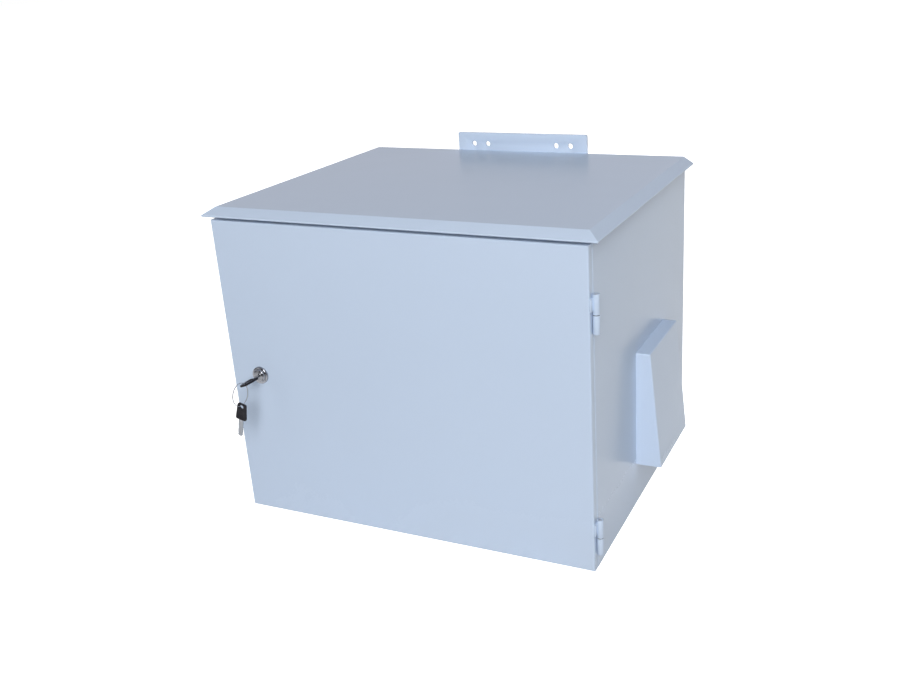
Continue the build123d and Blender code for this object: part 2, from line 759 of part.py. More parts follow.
with BuildPart() as plate_nuts:
    with BuildSketch(Plane.XZ.offset(-plate_front_y + washer_thickness)):
        with Locations((0, plate_centre)):
            with GridLocations(plate_stud_spread, plate_stud_rise, 2, 2):
                RegularPolygon(m8_nut_flats / 2, 6, major_radius=False)
                Circle(m8_radius + thread_clearance, mode=Mode.SUBTRACT)
    extrude(amount=m8_nut_height)
write(plate_nuts, "plate_nuts")

# Rails: top-hat section with a row of slots, held by two screws each
rail_back = plate_front_y
rail_front = plate_front_y - rail_depth + rail_sheet
for place, rail_z in rail_heights.items():
    with BuildPart() as din_rail:
        with BuildSketch(Plane.YZ.offset(-rail_length / 2)):
            with BuildLine():
                FilletPolyline(
                    (rail_front, rail_z - rail_height / 2),
                    (rail_front, rail_z - rail_hat / 2),
                    (rail_back, rail_z - rail_hat / 2),
                    (rail_back, rail_z + rail_hat / 2),
                    (rail_front, rail_z + rail_hat / 2),
                    (rail_front, rail_z + rail_height / 2),
                    radius=rail_fold_radius,
                )
                offset(amount=rail_sheet, side=Side.LEFT)
            make_face()
        extrude(amount=rail_length)
        with BuildSketch(Plane.XZ.offset(-rail_back)):
            with Locations((0, rail_z)):
                with GridLocations(rail_slot_pitch, 0, rail_slot_count, 1):
                    SlotOverall(rail_slot_length, rail_slot_width)
        extrude(amount=2 * rail_sheet, mode=Mode.SUBTRACT)
    write(din_rail, f"din_rail_{place}")

rail_screw_points = [
    (side * rail_screw_slots * rail_slot_pitch, rail_z) for rail_z in rail_heights.values() for side in (-1, 1)
]
with BuildPart() as rail_screws:
    with BuildSketch(Plane.XZ.offset(-rail_back + rail_sheet)):
        with Locations(*rail_screw_points):
            Circle(m5_head_radius)
    extrude(amount=m5_head_height)
    chamfer(rail_screws.faces().group_by(Axis.Y)[0].edges(), m5_head_height / 2)
    with BuildSketch(Plane.XZ.offset(-rail_back + rail_sheet)):
        with Locations(*rail_screw_points):
            Circle(m5_radius)
    extrude(amount=-rail_sheet - plate_thickness)
write(rail_screws, "rail_screws")

# Cable entry: a removable plate with grommets on a gasket, held by studs welded to the floor
gland_width = entry_width + 2 * entry_margin
gland_depth = entry_depth + 2 * entry_margin
gland_stud_x = entry_width + entry_margin
gland_stud_y = entry_depth + entry_margin
gland_z = sheet + entry_gasket
with BuildPart() as gland_gasket:
    with BuildSketch(Plane((0, entry_y, sheet))):
        RectangleRounded(gland_width, gland_depth, grommet_rim)
        Rectangle(entry_width, entry_depth, mode=Mode.SUBTRACT)
        with GridLocations(gland_stud_x, gland_stud_y, 2, 2):
            Circle(m5_radius + clearance, mode=Mode.SUBTRACT)
    extrude(amount=entry_gasket)
write(gland_gasket, "gland_gasket")

with BuildPart() as gland_plate:
    with BuildSketch(Plane((0, entry_y, gland_z))):
        RectangleRounded(gland_width, gland_depth, grommet_rim)
        with GridLocations(gland_stud_x, gland_stud_y, 2, 2):
            Circle(m5_radius + clearance, mode=Mode.SUBTRACT)
        with GridLocations(grommet_pitch, 0, grommet_count, 1):
            Circle(grommet_hole, mode=Mode.SUBTRACT)
    extrude(amount=gland_plate_thickness)
write(gland_plate, "gland_plate")

gland_top = gland_z + gland_plate_thickness
with BuildPart() as gland_studs:
    with BuildSketch(Plane((0, entry_y, sheet))):
        with GridLocations(gland_stud_x, gland_stud_y, 2, 2):
            Circle(m5_radius)
    extrude(amount=gland_top - sheet + 2 * m5_nut_height)
write(gland_studs, "gland_studs")

with BuildPart() as gland_nuts:
    with BuildSketch(Plane((0, entry_y, gland_top))):
        with GridLocations(gland_stud_x, gland_stud_y, 2, 2):
            RegularPolygon(m5_nut_flats / 2, 6, major_radius=False)
            Circle(m5_radius + thread_clearance, mode=Mode.SUBTRACT)
    extrude(amount=m5_nut_height)
write(gland_nuts, "gland_nuts")

# Each grommet has a flange under the plate, a groove round its hole and a closed cone above
grommet_places = [grommet_pitch * (index - (grommet_count - 1) / 2) for index in range(grommet_count)]
with BuildPart() as cable_grommets:
    for place_x in grommet_places:
        with BuildSketch(Plane((place_x, entry_y, 0), x_dir=(1, 0, 0), z_dir=(0, -1, 0))):
            with BuildLine():
                Polyline(
                    (0, gland_top + grommet_height - grommet_wall),
                    (0, gland_top + grommet_height),
                    (grommet_tip, gland_top + grommet_height),
                    (grommet_hole, gland_top + grommet_flange),
                    (grommet_hole + grommet_rim, gland_top + grommet_flange),
                    (grommet_hole + grommet_rim, gland_top),
                    (grommet_hole, gland_top),
                    (grommet_hole, gland_z),
                    (grommet_hole + grommet_rim, gland_z),
                    (grommet_hole + grommet_rim, gland_z - grommet_flange),
                    (grommet_hole - grommet_wall, gland_z - grommet_flange),
                    (grommet_hole - grommet_wall, gland_top),
                    (grommet_tip - grommet_wall, gland_top + grommet_height - grommet_wall),
                    close=True,
                )
            make_face()
        revolve(axis=Axis((place_x, entry_y, 0), (0, 0, 1)))
write(cable_grommets, "cable_grommets")

# Earthing point: a stud welded to the left wall, with a washer and a nut
earth_plane = Plane.YZ.offset(-inner_x)
with BuildPart() as earth_stud:
    with BuildSketch(earth_plane):
        with Locations((earth_y, earth_z)):
            Circle(m8_radius)
    extrude(amount=earth_length)
    chamfer(earth_stud.faces().sort_by(Axis.X)[-1].edges(), nut_chamfer)
write(earth_stud, "earth_stud")

with BuildPart() as earth_washer:
    with BuildSketch(earth_plane):
        with Locations((earth_y, earth_z)):
            Circle(m8_washer_radius)
            Circle(m8_radius + clearance, mode=Mode.SUBTRACT)
    extrude(amount=washer_thickness)
write(earth_washer, "earth_washer")

with BuildPart() as earth_nut:
    with BuildSketch(earth_plane.offset(washer_thickness)):
        with Locations((earth_y, earth_z)):
            RegularPolygon(m8_nut_flats / 2, 6, major_radius=False)
            Circle(m8_radius + thread_clearance, mode=Mode.SUBTRACT)
    extrude(amount=m8_nut_height)
write(earth_nut, "earth_nut")
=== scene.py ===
# %% [markdown]
# # A roadside utility cabinet, dressed for a photograph
#
# The construction model gives the shapes and places of every part of this cabinet, in metres. This
# lesson adds what a camera sees: the powder coat, the chromed lock, the moulded keys, threads, felt
# and rubber. Each step says what the real thing is, how it could be made, and why this way was chosen.
#
# The frame is loaded first and is never moved.

import json
from math import cos, pi, radians, sin, tan
from types import SimpleNamespace

import bmesh
import bpy
from mathutils import Matrix, Vector
from mathutils.noise import noise


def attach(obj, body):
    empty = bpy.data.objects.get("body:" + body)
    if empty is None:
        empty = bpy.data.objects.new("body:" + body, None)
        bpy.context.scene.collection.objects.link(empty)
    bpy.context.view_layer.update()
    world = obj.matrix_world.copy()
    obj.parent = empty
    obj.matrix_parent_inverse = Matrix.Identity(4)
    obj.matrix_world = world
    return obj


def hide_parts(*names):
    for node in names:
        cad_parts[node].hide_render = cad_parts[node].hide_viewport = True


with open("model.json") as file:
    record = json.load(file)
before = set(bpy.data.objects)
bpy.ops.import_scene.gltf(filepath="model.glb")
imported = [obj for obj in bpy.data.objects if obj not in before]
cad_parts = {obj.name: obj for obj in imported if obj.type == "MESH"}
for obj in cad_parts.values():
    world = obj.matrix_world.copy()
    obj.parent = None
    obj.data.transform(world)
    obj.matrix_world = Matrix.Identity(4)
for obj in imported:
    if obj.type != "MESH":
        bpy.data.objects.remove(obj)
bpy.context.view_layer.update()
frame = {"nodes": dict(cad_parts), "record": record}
nodes = frame["nodes"]

# %% [markdown]
# ## The camera
#
# The photograph was taken by hand, from the right of the door and a little above it. A camera can be
# placed by eye, or solved from corners whose real places are known. It was solved here, from
# twenty-five points on the sheet metal, the hood and the hinges. That gives a point, three angles and
# a focal length. The picture was cropped after it was taken, so the lens axis isn't in its middle, and
# the camera's shift stands for that. Its right, up and backward directions are the columns of its
# matrix.

# %% Camera
def in_scene(name, data):
    """A new object in the scene."""
    made = bpy.data.objects.new(name, data)
    bpy.context.scene.collection.objects.link(made)
    return made


image_width, image_height = 900, 700
focal_pixels = 1004.97
axis_pixel = (508.26, 332.19)
camera_place = (0.71297, -1.41631, 0.84291)
turn, tilt, roll = radians(24.463), radians(20.619), radians(-2.963)

forward = Vector((-sin(turn) * cos(tilt), cos(turn) * cos(tilt), -sin(tilt)))
level_right = Vector((cos(turn), sin(turn), 0))
level_up = level_right.cross(forward)
right = cos(roll) * level_right + sin(roll) * level_up
up = -sin(roll) * level_right + cos(roll) * level_up

lens = bpy.data.cameras.new("camera")
lens.sensor_width = 36
lens.lens = lens.sensor_width * focal_pixels / image_width
lens.shift_x = (image_width / 2 - axis_pixel[0]) / image_width
lens.shift_y = (axis_pixel[1] - image_height / 2) / image_width
camera = in_scene("camera", lens)
camera_axes = Matrix((right, up, -forward)).transposed().to_4x4()
camera.matrix_world = Matrix.Translation(camera_place) @ camera_axes
bpy.context.scene.camera = camera
print("focal length", round(lens.lens, 2), "mm")

# %% [markdown]
# ## Sockets as numbers
#
# A material or a geometry tree is a sum written with boxes and lines. It is easier to read as a sum.
# The class below wraps one output of one node and gives it Python's operators, so that
# `0.3 + 0.1 * grain` adds the two Math nodes that it needs. One method makes any other node: it takes
# the node's type, the values or links of its sockets, and its settings. Both kinds of tree use it.

# %% Wires and trees
class Wire:
    """One output socket, with operators that add Math nodes after it."""

    def __init__(self, tree, socket):
        self.tree, self.socket = tree, socket

    def __add__(self, other):
        return self.tree.maths("ADD", self, other)

    def __sub__(self, other):
        return self.tree.maths("SUBTRACT", self, other)

    def __rsub__(self, other):
        return self.tree.maths("SUBTRACT", other, self)

    def __mul__(self, other):
        return self.tree.maths("MULTIPLY", self, other)

    def __truediv__(self, other):
        return self.tree.maths("DIVIDE", self, other)

    __radd__ = __add__
    __rmul__ = __mul__

    def above(self, edge, width):
        """0 below the edge and 1 above it, with a soft step of that width."""
        limits = {0: self, 1: edge - width / 2, 2: edge + width / 2}
        return self.tree.node("ShaderNodeMapRange", limits, interpolation_type="SMOOTHSTEP")


class Tree:
    """A node tree. Its node method makes any node and returns a wire from one of its outputs."""

    def __init__(self, tree):
        self.tree = tree

    def node(self, kind, sockets=None, output=0, **settings):
        made = self.tree.nodes.new(kind)
        for name, value in settings.items():
            if name == "items":
                while len(made.index_switch_items) < value:
                    made.index_switch_items.new()
            else:
                setattr(made, name, value)
        for name, value in (sockets or {}).items():
            wires = value if isinstance(value, list) else [value]
            for wire in reversed(wires):
                if isinstance(wire, Wire):
                    self.tree.links.new(wire.socket, made.inputs[name])
                else:
                    made.inputs[name].default_value = wire
        return Wire(self, made.outputs[output]) if len(made.outputs) else made

    def maths(self, operation, *values):
        return self.node("ShaderNodeMath", dict(enumerate(values)), operation=operation)

    def between(self, low, wire, high):
        return self.maths("MINIMUM", self.maths("MAXIMUM", wire, low), high)

    def axis(self, vector, letter):
        """The X, Y or Z of a vector."""
        return self.node("ShaderNodeSeparateXYZ", {0: vector}, "XYZ".index(letter))


print("wires ready")

# %% [markdown]
# ## Finishes
#
# Every finish is a Principled shader whose colour, roughness and bump come from noise that is laid
# out in the object's own coordinates, in metres. Parts keep their place in their meshes, so a pattern
# runs on from one sheet to the next, and it stays put when the door turns. The `Finish` class holds
# what all finishes share: the coordinates, noise at a real size, colour mixing and the last link.

# %% What finishes share
class Finish(Tree):
    """A material with its Principled shader, and helpers that speak in metres."""

    def __init__(self, name, **fixed):
        self.material = bpy.data.materials.new(name)
        self.material.use_nodes = True
        super().__init__(self.material.node_tree)
        self.shader = self.tree.nodes["Principled BSDF"]
        for socket, value in fixed.items():
            self.shader.inputs[socket.replace("_", " ")].default_value = value
        self.place = self.node("ShaderNodeTexCoord", output=3)

    def noise(self, size, detail=2.0, stretch=(1, 1, 1), distortion=0.0):
        """Noise from 0 to 1 whose blobs are about size metres across, longer along a stretched axis."""
        scales = tuple(1 / (size * share) for share in stretch)
        scaled = self.node("ShaderNodeMapping", {"Vector": self.place, "Scale": scales})
        values = {"Vector": scaled, "Scale": 1.0, "Detail": detail, "Distortion": distortion}
        return self.node("ShaderNodeTexNoise", values)

    def cells(self, size, feature="F1", output=0):
        """Voronoi cells about size metres across."""
        values = {"Vector": self.place, "Scale": 1 / size}
        return self.node("ShaderNodeTexVoronoi", values, output, feature=feature)

    def mix(self, share, first, second):
        """Mixes two colours; each is three numbers or a wire."""
        pair = [value if isinstance(value, Wire) else (*value, 1.0) for value in (first, second)]
        sockets = {0: share, 6: pair[0], 7: pair[1]}
        return self.node("ShaderNodeMix", sockets, output=2, data_type="RGBA")

    def bump(self, height, depth, before=None):
        """Bump from a height of 0 to 1 that stands for depth metres."""
        sockets = {"Height": height, "Distance": depth, "Strength": 1.0}
        if before is not None:
            sockets["Normal"] = before
        return self.node("ShaderNodeBump", sockets)

    def paint(self, colour, rough, normal):
        """Links the three wires into the shader and returns the finished material."""
        for socket, wire in (("Base Color", colour), ("Roughness", rough), ("Normal", normal)):
            self.tree.links.new(wire.socket, self.shader.inputs[socket])
        return self.material


print("finish class ready")

# %% [markdown]
# ### Powder coat
#
# The sheet metal is coated in a glossy pale blue grey. Powder melts into a skin with a faint orange
# peel, about two millimetres from crest to crest, and thin sheet is never quite flat, so a large and
# shallow wave bends its reflections. A little dust clings low on the walls, where rain splashes it up.
# All of this is weak, since the cabinet is new.

# %% Powder coat
def powder_coat():
    finish = Finish("powder_coat", IOR=1.38, Specular_IOR_Level=0.2)
    peel = finish.noise(0.0022, detail=1.5)
    wave = finish.noise(0.16, detail=1.0, stretch=(1, 1, 1.6))
    cloud = finish.noise(0.24, detail=3.0)
    grain = finish.noise(0.004)
    dust = (1 - finish.axis(finish.place, "Z").above(0.05, 0.12)) * cloud.above(0.55, 0.4)
    colour = finish.mix(cloud, (0.537, 0.634, 0.782), (0.553, 0.649, 0.797))
    colour = finish.mix(0.05 * grain, colour, (0.50, 0.56, 0.64))
    colour = finish.mix(0.12 * dust, colour, (0.50, 0.50, 0.47))
    gloss = 0.20 + 0.05 * cloud + 0.04 * grain + 0.20 * dust
    skin = finish.bump(peel, 0.000016, finish.bump(wave, 0.0011))
    return finish.paint(colour, gloss, skin)


coat = powder_coat()
print("made", coat.name)

# %% [markdown]
# ### Metals
#
# Chrome is a mirror with a trace of blue and a few hairline scratches. Its colour is darker than
# real chrome: painted shade that stands for the dark surroundings it mirrors. The keys' nickel and
# the zinc on the fasteners are softer, with a grain that roughness carries. Galvanised sheet shows
# spangle: crystals a few millimetres across, each with its own grey, which Voronoi cells give at once.

# %% Chrome, nickel, zinc and galvanised sheet
def chrome():
    finish = Finish("lock_chrome", Metallic=1.0)
    scratch = finish.noise(0.0009, stretch=(9, 1, 1), distortion=0.4)
    stain = finish.noise(0.006, detail=3.0)
    # Both tones are painted shade, darker than real chrome, for the dark surroundings it mirrors; the stain
    # noise only varies between them.
    colour = finish.mix(stain, (0.36, 0.365, 0.39), (0.26, 0.265, 0.285))
    gloss = 0.07 + 0.10 * scratch.above(0.62, 0.1) + 0.06 * stain
    return finish.paint(colour, gloss, finish.bump(scratch, 0.000006))


def plated(name, light, dark, gloss, stretch=(1, 1, 1)):
    finish = Finish(name, Metallic=1.0)
    grain = finish.noise(0.0007, detail=3.0, stretch=stretch)
    stain = finish.noise(0.009, detail=3.0)
    colour = finish.mix(0.6 * stain + 0.3 * grain, light, dark)
    rough = gloss + 0.14 * stain + 0.10 * grain
    return finish.paint(colour, rough, finish.bump(grain, 0.00001))


def galvanised():
    finish = Finish("galvanised", Metallic=1.0)
    crystal = finish.cells(0.009, output=1)
    tone = finish.node("ShaderNodeRGBToBW", {0: crystal})
    border = finish.cells(0.009, feature="DISTANCE_TO_EDGE")
    bloom = finish.noise(0.05, detail=4.0)
    colour = finish.mix(tone, (0.36, 0.38, 0.40), (0.50, 0.52, 0.545))
    colour = finish.mix(0.35 * bloom.above(0.62, 0.2), colour, (0.66, 0.67, 0.67))
    rough = 0.30 + 0.16 * tone + 0.14 * bloom
    return finish.paint(colour, rough, finish.bump(border.above(0.03, 0.05), 0.000012))


polished = chrome()
nickel = plated("key_steel", (0.42, 0.44, 0.47), (0.30, 0.31, 0.34), 0.24, stretch=(1, 1, 8))
zinc = plated("zinc_plate", (0.62, 0.64, 0.68), (0.48, 0.50, 0.54), 0.26)
spangled = galvanised()
print("made", polished.name, nickel.name, zinc.name, spangled.name)

# %% [markdown]
# ### Plastic, rubber, foam and felt
#
# The keys' heads are black moulded plastic, polished a little where fingers hold them. The hinges'
# bearing washers are black acetal, and the grommets are moulded rubber. The door's seal is foam with
# closed pores, and the filter pad is needled felt, whose fibres show as a fine tangle: noise that is
# stretched and bent reads as fibre.

# %% Plastic, rubber, foam and felt
def moulded(name, dark, light, gloss, grain_size, depth):
    finish = Finish(name, IOR=1.48, Specular_IOR_Level=0.25)
    grain = finish.noise(grain_size)
    wear = finish.noise(0.012, detail=3.0)
    colour = finish.mix(0.7 * wear + 0.3 * grain, dark, light)
    rough = gloss + 0.16 * wear + 0.10 * grain
    return finish.paint(colour, rough, finish.bump(grain, depth))


def foam():
    finish = Finish("foam")
    pores = finish.cells(0.0011)
    cloud = finish.noise(0.02, detail=3.0)
    colour = finish.mix(cloud, (0.018, 0.018, 0.020), (0.034, 0.034, 0.036))
    rough = 0.74 + 0.18 * cloud
    return finish.paint(colour, rough, finish.bump(pores, 0.00025))


def felt():
    finish = Finish("filter_felt")
    fibre = finish.noise(0.0016, detail=4.0, stretch=(1, 4, 1), distortion=2.2)
    clump = finish.noise(0.012, detail=3.0)
    colour = finish.mix(0.6 * fibre + 0.4 * clump, (0.52, 0.53, 0.52), (0.80, 0.80, 0.79))
    rough = 0.86 + 0.1 * clump
    return finish.paint(colour, rough, finish.bump(fibre, 0.0006))


key_plastic = moulded(
    "key_plastic", (0.008, 0.007, 0.010), (0.018, 0.016, 0.021), 0.30, grain_size=0.0007, depth=0.00004
)
grommet_rubber = moulded(
    "rubber", (0.030, 0.030, 0.032), (0.062, 0.062, 0.064), 0.48, grain_size=0.0012, depth=0.00003
)
bearing_plastic = moulded(
    "acetal", (0.040, 0.042, 0.046), (0.058, 0.060, 0.064), 0.34, grain_size=0.0010, depth=0.00001
)
seal_foam = foam()
pad_felt = felt()
soft_finishes = (key_plastic, bearing_plastic, grommet_rubber, seal_foam, pad_felt)
print("made", *(material.name for material in soft_finishes))

# %% [markdown]
# ## Finishes on the construction parts
#
# Sheet metal, rails and plates have their true shapes already, with their folds, holes and hems. They
# only need their finish. The record of the model says which slot each part takes, so one loop over it
# dresses them all, and what is replaced later simply isn't shown.

# %% Dress the construction parts
finishes = {
    "powder_coat": coat,
    "lock_chrome": polished,
    "key_steel": nickel,
    "key_plastic": key_plastic,
    "zinc_plate": zinc,
    "galvanised": spangled,
    "acetal": bearing_plastic,
    "foam": seal_foam,
    "rubber": grommet_rubber,
    "filter_felt": pad_felt,
}
record = frame["record"]
slot_of = {row["node"]: row["material_slot"] for row in record["subparts"]}
body_of = {node: body for body, group in record["behaviour"]["bodies"].items() for node in group}
for name, part in nodes.items():
    part.data.materials.clear()
    part.data.materials.append(finishes[slot_of[name]])
print("dressed", len(nodes), "parts in", len(finishes), "finishes")

# %% [markdown]
# ## Putting a new piece in a part's place
#
# A new piece rides on the body of the part that it stands for, takes that part's slot and hides it.
# Its mesh is made where the part is, so its object stays at the origin. Edges sharper than a limit
# stay crisp and all others are shaded smooth.

# %% Take a part's place
mm = 0.001
made_triangles = {}


def stand_in(mesh, node, crisp=26):
    """Makes a piece from the mesh and puts it in the place of a construction part."""
    mesh.materials.clear()
    mesh.materials.append(finishes[slot_of[node]])
    mesh.polygons.foreach_set("use_smooth", [True] * len(mesh.polygons))
    mesh.set_sharp_from_angle(angle=radians(crisp))
    piece = in_scene(f"{node}_made", mesh)
    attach(piece, body_of[node])
    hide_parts(node)
    made_triangles[node] = sum(len(face.vertices) - 2 for face in mesh.polygons)
    return piece


def as_mesh(shape, name):
    """A new mesh from an edited shape, which is given up."""
    mesh = bpy.data.meshes.new(name)
    shape.to_mesh(mesh)
    shape.free()
    return mesh


def gathered(meshes):
    """One mesh from several."""
    shape = bmesh.new()
    for mesh in meshes:
        shape.from_mesh(mesh)
    return as_mesh(shape, "gathered")


def result_of(mesh, kind, **settings):
    """The mesh after one modifier, as a plain mesh again."""
    holder = in_scene("holder", mesh)
    modifier = holder.modifiers.new("maker", kind)
    for name, value in settings.items():
        if name in modifier.bl_rna.properties:
            setattr(modifier, name, value)
        else:
            modifier[name] = value
    worked_out = holder.evaluated_get(bpy.context.evaluated_depsgraph_get())
    made = bpy.data.meshes.new_from_object(worked_out)
    holder.modifiers.clear()
    bpy.data.objects.remove(holder)
    return made


print("ready to take places")

# %% [markdown]
# ## Screws, nuts, studs, washers and grommets
#
# These are turned parts, and they repeat, so Geometry Nodes make them. One idea serves them all: a
# flat grid is bent round an axis. Its rows are stations of a radius and a height, from the top of the
# bore outward, down and back in, which also points every face outward. A station's radius may be a
# formula of the angle. A hexagon is one such formula, and a thread another, in which the radius
# depends on the height less the share of a turn. Each tree has its sizes as named inputs, and sets
# its result out at four corners where the real parts sit in fours.

# %% A tree that bends a grid round an axis
class Maker(Tree):
    """A geometry tree with named sizes. Heights run along Z before the last turn and move."""

    kinds = {tuple: "NodeSocketVector", int: "NodeSocketInt", float: "NodeSocketFloat"}

    def __init__(self, name, **sizes):
        super().__init__(bpy.data.node_groups.new(name, "GeometryNodeTree"))
        sizes = {**sizes, "turn": (0.0, 0.0, 0.0), "place": (0.0, 0.0, 0.0)}
        for label, value in sizes.items():
            kind = self.kinds[type(value)]
            socket = self.tree.interface.new_socket(label, in_out="INPUT", socket_type=kind)
            socket.default_value = value
        self.tree.interface.new_socket("Mesh", in_out="OUTPUT", socket_type="NodeSocketGeometry")
        inputs = {label: self.node("NodeGroupInput", output=label) for label in sizes}
        self.size = SimpleNamespace(**inputs)

    def vector(self, x=0.0, y=0.0, z=0.0):
        return self.node("ShaderNodeCombineXYZ", {0: x, 1: y, 2: z})

    def grid(self, rows, steps):
        """A unit grid, with the number of each vertex's row and its angle round the axis."""
        sizes = {"Size X": 1.0, "Size Y": 1.0, "Vertices X": rows, "Vertices Y": steps + 1}
        flat = self.node("GeometryNodeMeshGrid", sizes)
        spot = self.node("GeometryNodeInputPosition")
        across, along = (self.axis(spot, letter) + 0.5 for letter in "XY")
        return flat, self.maths("ROUND", across * (rows - 1)), along * (2 * pi)

    def bent(self, flat, radius, angle, height):
        """The grid, bent round Z, with its seam and its poles closed."""
        ways = [self.maths(operation, angle) for operation in ("COSINE", "SINE")]
        place = self.vector(radius * ways[0], radius * ways[1], height)
        shape = self.node("GeometryNodeSetPosition", {"Geometry": flat, "Position": place})
        return self.node("GeometryNodeMergeByDistance", {"Geometry": shape, "Distance": 0.001 * mm})

    def turned(self, stations, steps=40):
        """A solid turned about Z. A station's radius and height may be functions of the angle."""
        flat, row, angle = self.grid(len(stations), steps)
        switch = {"data_type": "FLOAT", "items": len(stations)}
        chosen = []
        for column in zip(*stations):
            values = [value(angle) if callable(value) else value for value in column]
            sockets = dict(enumerate([row, *values]))
            chosen.append(self.node("GeometryNodeIndexSwitch", sockets, **switch))
        radius, height = chosen
        return self.bent(flat, radius, angle, height)

    def threaded(self, radius, length, pitch, foot=0.0):
        """A threaded rod from the foot up, closed and tapered at both ends.

        Besides the rows along the thread there are one at each pole and one more at the end. The tenth
        keeps the count above a whole number, so that rounding down gives it exactly.
        """
        rows_in_a_turn, rows_more, steps = 7, 3.1, 24
        depth, taper, steepness, flat_share = 0.55, 0.5, 3.2, 0.3
        rows = self.maths("ROUND", length / pitch * rows_in_a_turn) + rows_more
        flat, row, angle = self.grid(rows, steps)
        last = self.maths("FLOOR", rows) - 1
        height = length * (1 - self.between(0.0, (row - 1) / (last - 2), 1.0))
        wave = self.maths("FRACT", height / pitch - angle / (2 * pi)) - 0.5
        groove = self.between(0.0, self.maths("ABSOLUTE", wave) * steepness - flat_share, 1.0)
        end = self.maths("MINIMUM", height, length - height)
        worn = self.maths("MINIMUM", radius - depth * pitch * groove, radius - taper * pitch + end)
        inside = self.maths("GREATER_THAN", row, 0.5) * self.maths("LESS_THAN", row, last - 0.5)
        return self.bent(flat, worn * inside, angle, height + foot)

    def at_corners(self, shape):
        """The shape at the corners of a rectangle round the origin, or once where rows is 1."""
        size = self.size
        sizes = {"Size X": size.across, "Size Y": size.up, "Vertices X": size.rows, "Vertices Y": size.rows}
        return self.copied(self.node("GeometryNodeMeshGrid", sizes), shape)

    def copied(self, points, shape, **sockets):
        """A copy of the shape at every point."""
        return self.node("GeometryNodeInstanceOnPoints", {"Points": points, "Instance": shape, **sockets})

    def line(self, count, offset):
        """A row of points, each the offset further on."""
        return self.node("GeometryNodeMeshLine", {"Count": count, "Offset": offset}, mode="OFFSET")

    def swept(self, path, radius, sides):
        """A round bar along a path, closed at its ends."""
        profile = self.node("GeometryNodeCurvePrimitiveCircle", {"Resolution": sides, "Radius": radius})
        sockets = {"Curve": path, "Profile Curve": profile, "Fill Caps": True}
        return self.node("GeometryNodeCurveToMesh", sockets)

    def end(self, shape, finish):
        """Turns and moves the shape, makes it real and gives it its finish."""
        sockets = {"Geometry": shape, "Rotation": self.size.turn, "Translation": self.size.place}
        placed = self.node("GeometryNodeTransform", sockets)
        real = self.node("GeometryNodeRealizeInstances", {"Geometry": placed})
        painted = self.node("GeometryNodeSetMaterial", {"Geometry": real, "Material": finish})
        self.node("NodeGroupOutput", {0: painted})
        return self

    def run(self, **sizes):
        """The tree's result at these sizes, as a plain mesh."""
        inputs = [item for item in self.tree.interface.items_tree if item.in_out == "INPUT"]
        given = {item.identifier: sizes[item.name] for item in inputs if item.name in sizes}
        return result_of(bpy.data.meshes.new("empty"), "NODES", node_group=self.tree, **given)


print("maker ready")

# %% [markdown]
# ### The trees
#
# A nut's corners are cut back by a flat cone, so its top is a circle and its sides end in curves. A
# ring with soft edges serves for washers and spacers. The grommet is a stepped rubber cone, which is
# cut at the step that fits the cable, and it repeats along a line.

# %% Nuts, rings, rods and grommets
corner_sizes = {"across": 0.0, "up": 0.0, "rows": 2}


def nut_tree():
    tree = Maker("nuts", flats=8 * mm, height=4 * mm, bore=2.5 * mm, **corner_sizes)
    size = tree.size
    middle = size.flats / 2
    round_top = middle * 0.96
    edge = size.bore * 0.12
    cone_slope = tan(radians(30))

    def corner(angle):
        return middle / tree.maths("COSINE", tree.maths("MODULO", angle, pi / 3) - pi / 6)

    def heel(angle):
        return (corner(angle) - round_top) * cone_slope

    stations = [
        (size.bore + edge, size.height), (round_top, size.height),
        (corner, lambda angle: size.height - heel(angle)), (corner, heel),
        (round_top, 0.0), (size.bore + edge, 0.0), (size.bore, edge),
        (size.bore, size.height - edge), (size.bore + edge, size.height),
    ]
    return tree.end(tree.at_corners(tree.turned(stations, steps=48)), zinc)


def ring_tree():
    tree = Maker("rings", inner=4 * mm, outer=8 * mm, height=1.6 * mm, edge=0.3 * mm, **corner_sizes)
    size = tree.size
    near, far = size.inner + size.edge, size.outer - size.edge
    low, high = size.edge, size.height - size.edge
    stations = [
        (near, size.height), (far, size.height), (size.outer, high), (size.outer, low),
        (far, 0.0), (near, 0.0), (size.inner, low), (size.inner, high), (near, size.height),
    ]
    return tree.end(tree.at_corners(tree.turned(stations)), zinc)


def rod_tree():
    tree = Maker("rods", radius=4 * mm, length=24 * mm, pitch=1.25 * mm, **corner_sizes)
    size = tree.size
    rod = tree.threaded(size.radius, size.length, size.pitch)
    return tree.end(tree.at_corners(rod), zinc)


def grommet_tree():
    tree = Maker("grommets", count=3, pitch=72 * mm)
    outline = [
        (0, 16), (5.2, 16), (5.9, 15.5), (6.3, 12.4), (8.4, 11.8), (8.8, 8.6), (10.9, 8.0), (11.3, 5.2),
        (13.4, 4.6), (13.9, 2.2), (14.6, 1.6), (19.3, 1.6), (19.9, 1.1), (20, 0.4), (19.8, 0), (16, 0),
        (16, -1.5), (19.8, -1.5), (20, -1.9), (19.9, -2.6), (19.3, -3.1), (14.5, -3.1), (14.3, 0),
        (12.2, 2.6), (9.8, 6.4), (7.4, 10.2), (4.6, 14.3), (0, 14.5),
    ]
    grommet = tree.turned([(radius * mm, height * mm) for radius, height in outline])
    line = tree.line(tree.size.count, tree.vector(tree.size.pitch))
    return tree.end(tree.copied(line, grommet), grommet_rubber)


nuts, rings, rods, grommets = nut_tree(), ring_tree(), rod_tree(), grommet_tree()
print("trees:", *(maker.tree.name for maker in (nuts, rings, rods, grommets)))

# %% [markdown]
# A pan head is a low dome and a sunk head is a cone under a flat. Both take a screwdriver's cross,
# which a Boolean cuts. The thread starts under the head.

